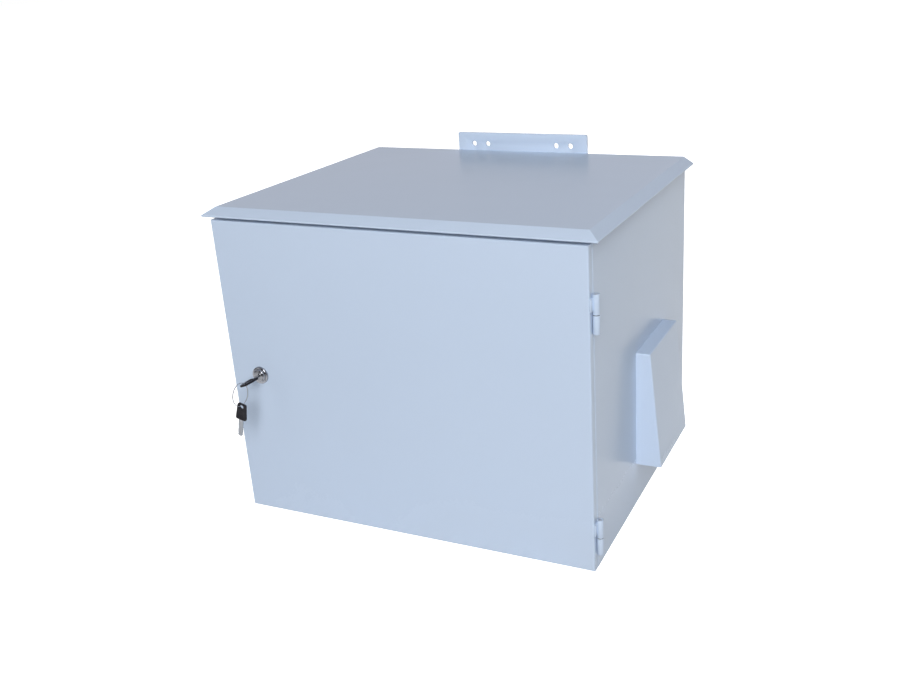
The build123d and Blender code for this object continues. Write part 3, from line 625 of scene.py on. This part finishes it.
# %% Screws with a pan head or a sunk head
def screw_tree(name, outline):
    """Screws whose head is drawn as shares of its radius and rise, with the thread below it."""
    tree = Maker(
        name, radius=2.5 * mm, length=16 * mm, pitch=0.8 * mm, head=4.75 * mm, rise=3.2 * mm, recess=0.62,
        **corner_sizes,
    )
    size = tree.size
    heights = [height for share, height in outline]
    stations = [(share * size.head, height * size.rise) for share, height in outline]
    head = tree.turned(stations)
    arm_length, arm_width, arm_height = size.recess * 2, 0.3, 0.9
    arms = []
    for wide, deep in ((arm_length, arm_width), (arm_width, arm_length)):
        reach = tree.vector(*(size.head * share for share in (wide, deep, arm_height)))
        bar = tree.node("GeometryNodeMeshCube", {"Size": reach})
        raised = {"Geometry": bar, "Translation": tree.vector(z=size.rise * max(heights))}
        arms.append(tree.node("GeometryNodeTransform", raised))
    cross = {"Mesh 1": head, "Mesh 2": arms, "Self Intersection": True}
    crossed = tree.node("GeometryNodeMeshBoolean", cross, operation="DIFFERENCE", solver="EXACT")
    under = size.rise * min(heights)
    shank = tree.threaded(size.radius, size.length, size.pitch, foot=under - size.length)
    both = tree.node("GeometryNodeJoinGeometry", {0: [crossed, shank]})
    return tree.end(tree.at_corners(both), zinc)


dome = [
    (0, 1), (0.3, 0.985), (0.55, 0.92), (0.75, 0.79), (0.9, 0.58), (0.98, 0.34), (1, 0.12), (0.98, 0),
    (0, 0),
]
sunk = [(0, 0), (0.95, 0), (1, -0.06), (0.5, -1), (0, -1)]
pan_screws, sunk_screws = screw_tree("pan_screws", dome), screw_tree("sunk_screws", sunk)
print("trees:", pan_screws.tree.name, sunk_screws.tree.name)

# %% [markdown]
# ### Setting them out
#
# Every call below gives a tree the real sizes of one part of the construction model, in millimetres,
# and where it sits. Nuts and screws on the back wall point along the depth of the cabinet, those of
# the hood along its width, and those of the gland plate upward.

# %% Set out the fasteners
inward, backward = (pi / 2, 0.0, 0.0), (-pi / 2, 0.0, 0.0)
to_right, to_left = (pi / 2, 0.0, pi / 2), (0.0, -pi / 2, 0.0)
not_lengths = {"recess", "rows"}


def set_out(maker, node, place, turn=(0.0, 0.0, 0.0), **sizes):
    """Runs a tree with lengths in millimetres and puts the result in a part's place."""
    metres = {name: value if name in not_lengths else value * mm for name, value in sizes.items()}
    stand_in(maker.run(turn=turn, place=tuple(value * mm for value in place), **metres), node)


m5_nut = {"flats": 8.0, "height": 4.0, "bore": 2.5}
m6_nut = {"flats": 10.0, "height": 5.0, "bore": 3.0}
m8_nut = {"flats": 13.0, "height": 6.5, "bore": 4.0}
m8_rod = {"radius": 4.0, "pitch": 1.25}
m8_washer = {"inner": 4.25, "outer": 8.0, "height": 1.6, "edge": 0.25}
plate_spacer = {"inner": 4.25, "outer": 7.0, "height": 10.5, "edge": 0.5}
sunk_m6 = {"radius": 3.0, "length": 7.3, "pitch": 1.0, "head": 6.2, "rise": 3.2, "recess": 0.5}
back_four = {"across": 180.0, "up": 32.0}
plate_four = {"across": 420.0, "up": 360.0}
gland_four = {"across": 248.0, "up": 78.0}

set_out(nuts, "hood_nuts", (301.2, 37, 168), to_right, **m5_nut, across=144.0, up=150.0)
set_out(pan_screws, "hood_screws", (296.3, 37, 168), to_left, length=8.9, across=150.0, up=144.0)
set_out(nuts, "bracket_nuts", (0, 248.5, 471), inward, **m6_nut, **back_four)
set_out(sunk_screws, "bracket_screws", (0, 254, 471), backward, **sunk_m6, **back_four)
set_out(rods, "plate_studs", (0, 248.5, 240), inward, **m8_rod, length=24.5, **plate_four)
set_out(rings, "plate_spacers", (0, 248.5, 240), inward, **plate_spacer, **plate_four)
set_out(rings, "plate_washers", (0, 236, 240), inward, **m8_washer, **plate_four)
set_out(nuts, "plate_nuts", (0, 234.4, 240), inward, **m8_nut, **plate_four)
set_out(pan_screws, "rail_screws", (0, 235, 255), inward, length=3.0, across=250.0, up=170.0)
set_out(rods, "gland_studs", (0, 150, 1.5), radius=2.5, length=11.5, pitch=0.8, **gland_four)
set_out(nuts, "gland_nuts", (0, 150, 5), **m5_nut, **gland_four)
set_out(grommets, "cable_grommets", (-72, 150, 5))
print("set out", len(made_triangles), "parts,", sum(made_triangles.values()), "triangles")

# %% [markdown]
# The earthing point is a stud with a washer and a nut on the left wall. Behind the door, the lock has
# its own large nut, and a washer and a nut that hold the cam. These lie square to the key's slot,
# which is tilted by twenty degrees.

# %% Set out the single nuts and washers
lock_tilt = radians(20)
from_left, round_lock = (0.0, pi / 2, 0.0), (-pi / 2, -lock_tilt, 0.0)
big_nut = {"flats": 24.0, "height": 4.0, "bore": 9.55}
cam_ring = {"inner": 3.05, "outer": 6.6, "height": 1.6, "edge": 0.2}

set_out(rods, "earth_stud", (-298.5, -170, 70), from_left, **m8_rod, length=26.0, rows=1)
set_out(rings, "earth_washer", (-298.5, -170, 70), from_left, **m8_washer, rows=1)
set_out(nuts, "earth_nut", (-296.9, -170, 70), to_right, **m8_nut, rows=1)
set_out(nuts, "lock_nut", (-247, -248.5, 244), round_lock, **big_nut, rows=1)
set_out(rings, "cam_washer", (-247, -229.4, 244), round_lock, **cam_ring, rows=1)
set_out(nuts, "cam_nut", (-247, -227.8, 244), round_lock, flats=10.0, height=5.0, bore=3.05, rows=1)
print("set out", len(made_triangles), "parts,", sum(made_triangles.values()), "triangles")

# %% [markdown]
# ## The lock
#
# The lock is chrome: a rounded flange, a raised collar, a plug with a narrow slot and, behind the
# door, a barrel with a thread and two flats that keep it from turning in its hole. It is turned in
# the same way as the fasteners, but in plain Python, because the flats cut across the turning. The
# slot is a Boolean. Everything is made about an axis and then stood in its place by one matrix, whose
# columns are the slot's direction, the direction square to it and the way out of the door.

# %% Turned in Python
out_of_door = Vector((0, -1, 0))
slot_way = Vector((cos(lock_tilt), 0, sin(lock_tilt)))
lock_place = Vector((-247, -250, 244)) * mm


def standing(place, *columns):
    """The matrix that stands a shape at a place on three directions."""
    return Matrix.Translation(place) @ Matrix(columns).transposed().to_4x4()


def skin(loops, closed=True):
    """A skin over loops of equally many points. It joins its last loop to its first, or caps both."""
    shape = bmesh.new()
    rows = [[shape.verts.new(point) for point in loop] for loop in loops]
    for upper, lower in zip(rows, rows[1:] + rows[:1] if closed else rows[1:]):
        for step, following in zip(range(len(upper)), [*range(1, len(upper)), 0]):
            shape.faces.new((upper[step], lower[step], lower[following], upper[following]))
    if not closed:
        shape.faces.new(rows[0])
        shape.faces.new(list(reversed(rows[-1])))
    bmesh.ops.remove_doubles(shape, verts=shape.verts, dist=0.0005 * mm)
    bmesh.ops.recalc_face_normals(shape, faces=shape.faces)
    return as_mesh(shape, "skin")


def turned_loops(profile, flat=None):
    """Loops about an axis from (radius, height) in millimetres. Below the door they have two flats."""
    steps = 72
    angles = [2 * pi * step / steps for step in range(steps)]
    loops = []
    for radius, height in profile:
        limit = radius if flat is None or height >= 0 else flat
        sides = [max(-limit, min(limit, radius * sin(angle))) for angle in angles]
        loops.append([Vector((radius * cos(a), side, height)) * mm for a, side in zip(angles, sides)])
    return loops


lock_axes = standing(lock_place, slot_way, out_of_door.cross(slot_way), out_of_door)
crest, root, thread_top, half_pitch = 9.5, 9.05, -1.2, 0.55
thread = [(crest if step % 2 else root, thread_top - half_pitch * step) for step in range(30)]
housing_profile = [
    (8.55, 6.8), (8.7, 7.0), (9.1, 6.95), (9.7, 6.7), (10.2, 6.1), (10.45, 5.4), (10.5, 4.35), (10.8, 4.0),
    (11.8, 4.0), (12.7, 3.75), (13.4, 3.2), (13.85, 2.4), (14.0, 1.5), (14.0, 0.2), (13.8, 0.0), (9.5, 0.0),
    (9.5, -0.05), (9.5, -1.0), *thread, (9.2, -17.8), (7.05, -17.8), (7.05, 4.95), (8.55, 4.95),
]
housing = skin(turned_loops(housing_profile, flat=8.2))
housing.transform(lock_axes)
stand_in(housing, "lock_housing", crisp=40)
print("lock housing", made_triangles["lock_housing"], "triangles")

# %% [markdown]
# The plug fills the collar. Its face has a shallow ring, the slot is a little wider than the blade,
# and behind the barrel come the square that drives the cam and a threaded stud.

# %% Plug, with its slot, square and stud
def boxed(size, middle, edge=0.0):
    """A box in millimetres, with its edges rounded."""
    shape = bmesh.new()
    bmesh.ops.create_cube(shape, size=1)
    bmesh.ops.scale(shape, vec=Vector(size) * mm, verts=shape.verts)
    bmesh.ops.translate(shape, vec=Vector(middle) * mm, verts=shape.verts)
    if edge:
        rounding = {"offset": edge * mm, "segments": 2, "profile": 0.5, "affect": "EDGES"}
        bmesh.ops.bevel(shape, geom=shape.edges[:], **rounding)
    return as_mesh(shape, "box")


def without(mesh, tool):
    """The mesh less the tool."""
    cutter = in_scene("cutter", tool)
    result = result_of(mesh, "BOOLEAN", object=cutter, operation="DIFFERENCE", solver="EXACT")
    bpy.data.objects.remove(cutter)
    return result


plug_profile = [
    (0.0, 7.5), (5.6, 7.5), (5.8, 7.3), (6.3, 7.3), (6.5, 7.5), (7.9, 7.5), (8.3, 7.35), (8.5, 7.0),
    (8.5, 5.1), (8.3, 5.0), (7.0, 5.0), (7.0, -18.1), (0.0, -18.1),
]
turned_plug = turned_loops(plug_profile)
plug = without(skin(turned_plug[1:-1], closed=False), boxed((8.4, 2.4, 20.2), (0, 0, -2.1)))
square = boxed((8.0, 8.0, 2.5), (0, 0, -19.35), 0.25)
stud_foot = (0.0, 0.0, -28.6 * mm)
stud = rods.run(radius=3.0 * mm, length=8.0 * mm, pitch=1.0 * mm, rows=1, place=stud_foot)
whole_plug = gathered([plug, square, stud])
whole_plug.transform(lock_axes)
stand_in(whole_plug, "lock_plug", crisp=40)
print("plug", made_triangles["lock_plug"], "triangles")

# %% [markdown]
# ## Keys and ring
#
# A key's blade is a loft: a section with a milled groove on each face is set out along the blade, and
# its width follows the bites. The head is a moulding. Its outline is a rounded wedge, so loops run
# from the hole's rim over the face, round the outer edge and back under, and close there. A sunk grip
# with raised ribs lies on each face. Both keys are made in one frame and then stood in their places:
# one in the plug, the other hanging a little aslant from the ring.

# %% Blade
blade_tip, blade_end, full_half, tip_taper = -12.0, 25.0, 4.0, 2.0
bite_count, bite_radius, bite_pitch, first_bite = 5, 1.1, 3.2, 4.0
shallow, step_between, depths = 0.3, 0.25, 3  # how far a bite stands out, as parts of its radius


def blade_half_width(along):
    """Half the blade's width at a place along it, in millimetres."""
    from_tip = along - blade_tip
    half = full_half - max(0.0, tip_taper - from_tip)
    for index in range(bite_count):
        reach = bite_radius**2 - (from_tip - first_bite - index * bite_pitch) ** 2
        if reach > 0:
            standing_out = bite_radius * (shallow + step_between * (index % depths))
            half = min(half, full_half + standing_out - reach**0.5)
    return half


def blade_mesh():
    """A key's blade about its own axes: X across, Y from tip to head, Z through it."""
    bitten = [blade_tip + 0.35 * step for step in range(61)]
    groove_end, groove_depth, groove_rise = 14.0, 0.45, 2.0
    loops = []
    for along in [*bitten, 11.0, 12.0, 13.0, groove_end, blade_end]:
        half = blade_half_width(along)
        floor_of_groove = 1.0 - groove_depth * max(0.0, min(1.0, (groove_end - along) / groove_rise))
        side = [
            (-half, -0.75), (-half, 0.75), (0.25 - half, 1.0), (-1.5, 1.0), (-1.2, floor_of_groove),
            (0.4, floor_of_groove), (0.7, 1.0), (half - 0.25, 1.0),
        ]
        section = side + [(-across, -through) for across, through in side]
        loops.append([Vector((across, along, through)) * mm for across, through in section])
    return skin(loops, closed=False)


print("blade", len(blade_mesh().polygons), "faces")

# %% [markdown]
# The outline of the head, and later of the door's seal and the filter pad, is a polygon with rounded
# corners. Small helpers move such an outline inward, add points on its long runs, round its edge and
# lay it at a height.

# %% Outlines
def rounded(corners, radius):
    """The outline of a polygon, anticlockwise, with its corners rounded."""
    steps = 7
    points = []
    for index, corner in enumerate(corners):
        here = Vector(corner)
        back = (Vector(corners[index - 1]) - here).normalized()
        ahead = (Vector(corners[(index + 1) % len(corners)]) - here).normalized()
        half = back.angle(ahead) / 2
        centre = here + (back + ahead).normalized() * radius / sin(half)
        first = here + back * radius / tan(half) - centre
        for step in range(steps + 1):
            points.append(centre + Matrix.Rotation((pi - 2 * half) * step / steps, 2) @ first)
    return points


def shrunk(points, amount):
    """The outline moved inward."""
    moved = []
    for before, point, after in zip(points[-1:] + points, points, points[1:] + points[:1]):
        way = (after - before).normalized()
        moved.append(point + Vector((-way.y, way.x)) * amount)
    return moved


def evenly(points, spacing):
    """The outline with points added on its long straight runs."""
    result = []
    for point, following in zip(points, points[1:] + points[:1]):
        parts = max(1, round((following - point).length / spacing))
        result += [point.lerp(following, step / parts) for step in range(parts)]
    return result


def quarter(steps, edge):
    """How far a round edge stands in from the side and down from the face, along its quarter turn."""
    angles = [radians(90 * step / steps) for step in range(steps + 1)]
    return [(edge * (1 - sin(angle)), edge * (1 - cos(angle))) for angle in angles]


def at_height(points, height):
    """An outline in millimetres as points in metres, all at one height."""
    return [Vector((*point, height)) * mm for point in points]


def and_below(half):
    """Loops with their heights, and then the same loops below, back from the last."""
    return half + [(loop, -height) for loop, height in reversed(half)]


print("outlines ready")

# %% Head
hole, hole_radius, head_half = Vector((0, 40.0)), 3.5, 1.7
head_corners = [(-9.75, 17.0), (9.75, 17.0), (7.5, 45.5), (-7.5, 45.5)]


def head_mesh():
    """A key's moulded head about the blade's axes."""
    outline = evenly(rounded(head_corners, 3.0), 1.6)
    upper = []
    for inset, drop in reversed(quarter(4, 0.5)):
        rim = [hole + (point - hole).normalized() * (hole_radius + inset) for point in outline]
        upper.append((rim, head_half - drop))
    for inset, drop in quarter(4, 0.7):
        upper.append((shrunk(outline, inset), head_half - drop))
    return skin([at_height(loop, height) for loop, height in and_below(upper)])


grips = gathered([boxed((12.0, 13.0, 1.0), (0, 26.0, side * 1.9), 0.2) for side in (-1, 1)])
smooth_head = without(head_mesh(), grips)
print("head", len(smooth_head.polygons), "faces")

# %% [markdown]
# The ribs of the grip repeat along it, so a tree makes them: a short round bar for each, on a line.

# %% Ribs for the thumb
rib_tree = Maker("thumb_ribs", count=5, pitch=2.3 * mm, width=10.4 * mm, radius=0.38 * mm)
size = rib_tree.size
ends = {"Start": rib_tree.vector(size.width * -0.5), "End": rib_tree.vector(size.width * 0.5)}
rib = rib_tree.swept(rib_tree.node("GeometryNodeCurvePrimitiveLine", ends), size.radius, 10)
rib_line = rib_tree.line(size.count, rib_tree.vector(y=size.pitch))
rib_tree.end(rib_tree.copied(rib_line, rib), key_plastic)
ribs = [rib_tree.run(place=(0.0, 21.4 * mm, side * 1.3 * mm)) for side in (-1, 1)]
ribbed_head = gathered([smooth_head, *ribs])
print("ribbed head", len(ribbed_head.polygons), "faces")

# %% Stand both keys in their places
ring_middle = Vector((-247, -304.375, 233.167)) * mm
ring_radius, hang = 18 * mm, 42.3 * mm
lean = radians(13)
spare_up = Vector((sin(lean), 0, cos(lean)))
spare_place = ring_middle - Vector((0, 0, ring_radius)) - spare_up * hang
key_axes = standing(lock_place, slot_way, out_of_door, slot_way.cross(out_of_door))
spare_axes = standing(spare_place, Vector((cos(lean), 0, -sin(lean))), spare_up, out_of_door)

for prefix, axes in (("key", key_axes), ("spare_key", spare_axes)):
    for suffix, source in (("blade", blade_mesh()), ("head", ribbed_head.copy())):
        source.transform(axes)
        stand_in(source, f"{prefix}_{suffix}", crisp=38)
print("keys stand at", *(round(value, 4) for value in (*lock_place, *spare_place)))

# %% [markdown]
# ### The split ring
#
# A split ring is a wire wound nearly twice round, with a short step from the first turn to the
# second. It follows a path, so a tree makes it: a line of points is laid round the circle, lifted by
# one wire at the step, and swept by a small circle.

# %% Split ring
coil = Maker("split_ring", radius=ring_radius, wire=0.4 * mm, turns=1.96, points=240)
size = coil.size
step_place, step_width = 2 * pi - 0.14, 0.22
along = coil.node("GeometryNodeInputIndex") / (size.points - 1) * size.turns * (2 * pi)
lifted = size.wire * (2 * along.above(step_place, step_width) - 1)
out, side = (size.radius * coil.maths(operation, along) for operation in ("COSINE", "SINE"))
dots = {"Geometry": coil.line(size.points, (0, 0, mm)), "Position": coil.vector(out, side, lifted)}
laid = coil.node("GeometryNodeSetPosition", dots)
path = coil.node("GeometryNodeMeshToCurve", {"Mesh": laid})
coil.end(coil.swept(path, size.wire, 10), nickel)
stand_in(coil.run(turn=(0.0, pi / 2, 0.0), place=tuple(ring_middle)), "key_ring", crisp=50)
print("ring", made_triangles["key_ring"], "triangles")

# %% [markdown]
# ## Parts with soft edges
#
# The construction model leaves the ends of the hinges and the edges of the thick plates sharp. A real
# edge is broken and carries a thicker line of coating, which catches the light. The shape is right,
# so a copy is welded together, its flat faces are joined, and a Bevel modifier rounds every edge that
# is sharper than forty degrees. The foam gasket under the gland plate bulges in the same way.

# %% Soften sharp edges
weld = 0.002 * mm
sharp = {"limit_method": "ANGLE", "angle_limit": radians(40)}


def softened(node, edge, segments=2):
    """A copy of a construction part with its sharp edges rounded, in that part's place."""
    shape = bmesh.new()
    shape.from_mesh(nodes[node].data)
    bmesh.ops.remove_doubles(shape, verts=shape.verts, dist=weld)
    bmesh.ops.dissolve_limit(shape, angle_limit=radians(1), verts=shape.verts, edges=shape.edges)
    joined = as_mesh(shape, "joined")
    shape = bmesh.new()
    shape.from_mesh(result_of(joined, "BEVEL", width=edge * mm, segments=segments, **sharp))
    bmesh.ops.dissolve_degenerate(shape, dist=weld, edges=shape.edges)
    return stand_in(as_mesh(shape, node), node, crisp=45)


for body in ("body", "door"):
    for place in ("upper", "lower"):
        softened(f"{body}_hinge_{place}", 0.4)
edges = {"wall_bracket": 0.4, "lock_cam": 0.35, "hinge_washers": 0.15, "hinge_pins": 0.2}
for node, edge in edges.items():
    softened(node, edge)
softened("gland_gasket", 0.5, segments=3)
print("in all", len(made_triangles), "parts,", sum(made_triangles.values()), "triangles")

# %% [markdown]
# ## The door's seal
#
# The seal is a strip of foam round the inside of the door. Where the frame's lip presses on it, it
# keeps a shallow channel. Its outline is a rounded rectangle, and its section goes round that path.

# %% Door seal
def box_corners(width, height):
    """The corners of a rectangle round the origin, anticlockwise."""
    x, y = width / 2, height / 2
    return [(-x, -y), (x, -y), (x, y), (-x, y)]


seal_section = [
    (0.0, 0.0), (0.0, 4.6), (0.3, 5.8), (1.0, 6.6), (2.2, 7.0), (3.6, 6.9), (4.3, 6.45), (5.0, 6.3),
    (5.7, 6.45), (6.4, 6.9), (7.8, 7.0), (9.0, 6.6), (9.7, 5.8), (10.0, 4.6), (10.0, 0.0),
]
seal_width, seal_height, corner_radius = 567.5, 458.0, 10.01
seal_outline = evenly(rounded(box_corners(seal_width, seal_height), corner_radius), 24.0)
seal = skin([at_height(shrunk(seal_outline, inset), depth) for inset, depth in seal_section])
seal_place = Vector((0, -248.5, 245.25)) * mm
seal.transform(standing(seal_place, (-1, 0, 0), (0, 0, 1), (0, 1, 0)))
stand_in(seal, "door_gasket", crisp=60)
print("seal", made_triangles["door_gasket"], "triangles")

# %% [markdown]
# ## The filter pad
#
# The pad is a cushion of needled felt: thick, with round edges and faces that are never quite flat.
# Loops of one rounded outline run from the middle of one face over the edge to the middle of the
# other, and noise presses the faces in a little. Loose fibres lie on both faces. A tree scatters them
# from a fixed seed, each a short bent thread.

# %% Pad
pad_width, pad_half, pad_edge = 122.0, 5.0, 3.0
face_loops, dent_share, dent_size = 18, 0.05, 17


def pad_mesh():
    """The pad about its own middle, with its thickness along Z."""
    outline = evenly(rounded(box_corners(pad_width, pad_width), 5.0), 3.0)
    flat_share = 1 - 2 * pad_edge / pad_width
    half = []
    for share in [0.02, *(step / face_loops for step in range(1, face_loops))]:
        half.append(([point * share * flat_share for point in outline], pad_half))
    for inset, drop in quarter(5, pad_edge):
        half.append((shrunk(outline, inset), pad_half - drop))
    loops = []
    for loop, height in and_below(half):
        dents = [dent_share * (1 + noise(Vector((*point, height)) / dent_size)) for point in loop]
        loops.append([Vector((*point, height * (1 - dent))) * mm for point, dent in zip(loop, dents)])
    return skin(loops, closed=False)


print("pad", len(pad_mesh().polygons), "faces")

# %% Fibres on the pad
fibres = Maker(
    "felt_fibres", width=112 * mm, count=260, length=9 * mm, radius=0.07 * mm, bend=1.6 * mm, seed=7
)
size = fibres.size
field = fibres.node("GeometryNodeMeshGrid", {"Size X": size.width, "Size Y": size.width})
density = size.count / (size.width * size.width)
scatter = {"Mesh": field, "Density": density, "Seed": size.seed}
spots = fibres.node("GeometryNodeDistributePointsOnFaces", scatter, distribute_method="RANDOM")
bow = {
    "Start": fibres.vector(size.length * -0.5),
    "Middle": fibres.vector(y=size.bend),
    "End": fibres.vector(size.length * 0.5),
    "Resolution": 5,
}
thread = fibres.node("GeometryNodeCurveQuadraticBezier", bow)
fibre = fibres.swept(thread, size.radius, 4)
spin = {"Min": (-0.02, -0.02, 0), "Max": (0.02, 0.02, 2 * pi), "Seed": size.seed}
stretch = {2: 0.5, 3: 1.2, "Seed": size.seed + 3}
strewn = fibres.copied(
    spots,
    fibre,
    Rotation=fibres.node("FunctionNodeRandomValue", spin, data_type="FLOAT_VECTOR"),
    Scale=fibres.node("FunctionNodeRandomValue", stretch, output=1),
)
fibres.end(strewn, pad_felt)
fibre_height = 4.75 * mm
strewings = [fibres.run(place=(0.0, 0.0, side * fibre_height), seed=7 + side) for side in (-1, 1)]
pad = gathered([pad_mesh(), *strewings])
pad_place = Vector((292.2, 37, 168)) * mm
pad.transform(standing(pad_place, (0, 1, 0), (0, 0, 1), (1, 0, 0)))
stand_in(pad, "filter_mat", crisp=70)
print("pad with fibres", made_triangles["filter_mat"], "triangles")

# %% [markdown]
# ## Floor, world and lamps
#
# The photograph's background is plain white, without a shadow. The floor and the world are white only
# to rays from the camera and to reflections, so the white adds no light to the cabinet. Reflections
# that look forward find it dark, as behind a photographer, which gives the chrome its contrast. The
# floor is otherwise a plain pale grey.
#
# One broad soft lamp, far in front on the right, gives the door its slow change from side to side. A
# weak one on the left fills it. One above on the right, a little bluer, lifts the roof, the hood and
# the right side, and the world fills the rest. Their powers were solved from forty-odd points of the
# photograph: each lamp was rendered by itself, and the sum was fitted to the tones there. The broad
# lamp is left out of reflections, since the roof would mirror it to a camera behind, and a smaller one
# that shows only in reflections gives the chrome its glint. A lamp behind lights what the photograph
# doesn't show. It stands lower than the roof, which would otherwise mirror it. The glint and this
# last lamp were set one by one.

# %% Floor and world
forward_share = 0.08  # what is left of the white where a reflection looks forward
floor_half = 30


class Surround(Tree):
    """A material or world that is white to the camera, and to reflections unless they look forward."""

    def __init__(self, tree):
        super().__init__(tree)
        tree.nodes.clear()

    def ray(self, kind):
        return self.node("ShaderNodeLightPath", output=f"Is {kind} Ray")

    def seen(self, output, edge, width):
        """How white it is. It darkens forward of the edge, which is a place or a direction along Y."""
        place = self.node("ShaderNodeTexCoord", output=output)
        behind = self.axis(place, "Y").above(edge, width)
        share = forward_share + (1 - forward_share) * behind
        mirrored = (self.ray("Glossy") + self.ray("Transmission")) * share
        return self.maths("MAXIMUM", self.ray("Camera"), mirrored)


floor_mesh = bpy.data.meshes.new("floor")
floor_corners = [(x * floor_half, y * floor_half, 0) for x, y in ((-1, -1), (1, -1), (1, 1), (-1, 1))]
floor_mesh.from_pydata(floor_corners, [], [(0, 1, 2, 3)])
floor = in_scene("floor", floor_mesh)

pale = bpy.data.materials.new("pale_floor")
pale.use_nodes = True
floor_mesh.materials.append(pale)
ground = Surround(pale.node_tree)
grain = ground.node("ShaderNodeTexNoise", {"Scale": 60.0})
paint = {"Color": (0.62, 0.62, 0.62, 1), "Roughness": 0.6 + 0.2 * grain}
matt = ground.node("ShaderNodeBsdfDiffuse", paint)
light = {"Color": (1, 1, 1, 1), "Strength": ground.seen("Object", edge=-0.8, width=0.8)}
glow = ground.node("ShaderNodeEmission", light)
both = ground.node("ShaderNodeAddShader", {0: matt, 1: glow})
ground.node("ShaderNodeOutputMaterial", {"Surface": both})

world = bpy.data.worlds.new("studio")
bpy.context.scene.world = world
world.use_nodes = True
sky = Surround(world.node_tree)
level = sky.seen("Generated", edge=-0.15, width=0.4)
cool = {0: sky.ray("Camera"), 6: (0.97, 0.99, 1.12, 1), 7: (1, 1, 1, 1)}
backdrop = sky.node("ShaderNodeMix", cool, output=2, data_type="RGBA")
air = sky.node("ShaderNodeBackground", {"Color": (0.86, 0.93, 1.0, 1), "Strength": 0.05})
white = sky.node("ShaderNodeBackground", {"Color": backdrop, "Strength": 1.0})
blend = sky.node("ShaderNodeMixShader", {0: level, 1: air, 2: white})
sky.node("ShaderNodeOutputWorld", {"Surface": blend})
print("floor and world made")

# %% Lamps
def soft_lamp(name, place, aim, size, power, tint=(1, 1, 1)):
    """A square soft lamp at a place, turned to its aim."""
    lamp = bpy.data.lights.new(name, "AREA")
    lamp.shape, lamp.size, lamp.energy, lamp.color = "SQUARE", size, power, tint
    holder = in_scene(name, lamp)
    holder.location = place
    holder.rotation_euler = (Vector(aim) - Vector(place)).to_track_quat("-Z", "Y").to_euler()
    return holder


broad = soft_lamp("key_lamp", (2.2, -5.0, 2.45), (0.15, -0.25, 0.3), 3.2, 280)
broad.visible_glossy = False
glint = soft_lamp("glint_lamp", (0.83, -2.37, 1.91), (-0.25, -0.25, 0.25), 1.2, 40)
glint.visible_diffuse = False
soft_lamp("left_lamp", (-3.5, -4.2, 1.9), (-0.1, -0.25, 0.25), 2.6, 24)
soft_lamp("top_lamp", (1.5, -0.9, 2.9), (0.2, 0, 0.4), 1.6, 20, (0.92, 0.96, 1.0))
soft_lamp("back_lamp", (-1.2, 2.8, 0.24), (0, 0.25, 0.24), 0.46, 40, (0.9, 0.95, 1.0))
bpy.context.scene.view_settings.view_transform = "Standard"
print("lamps made")
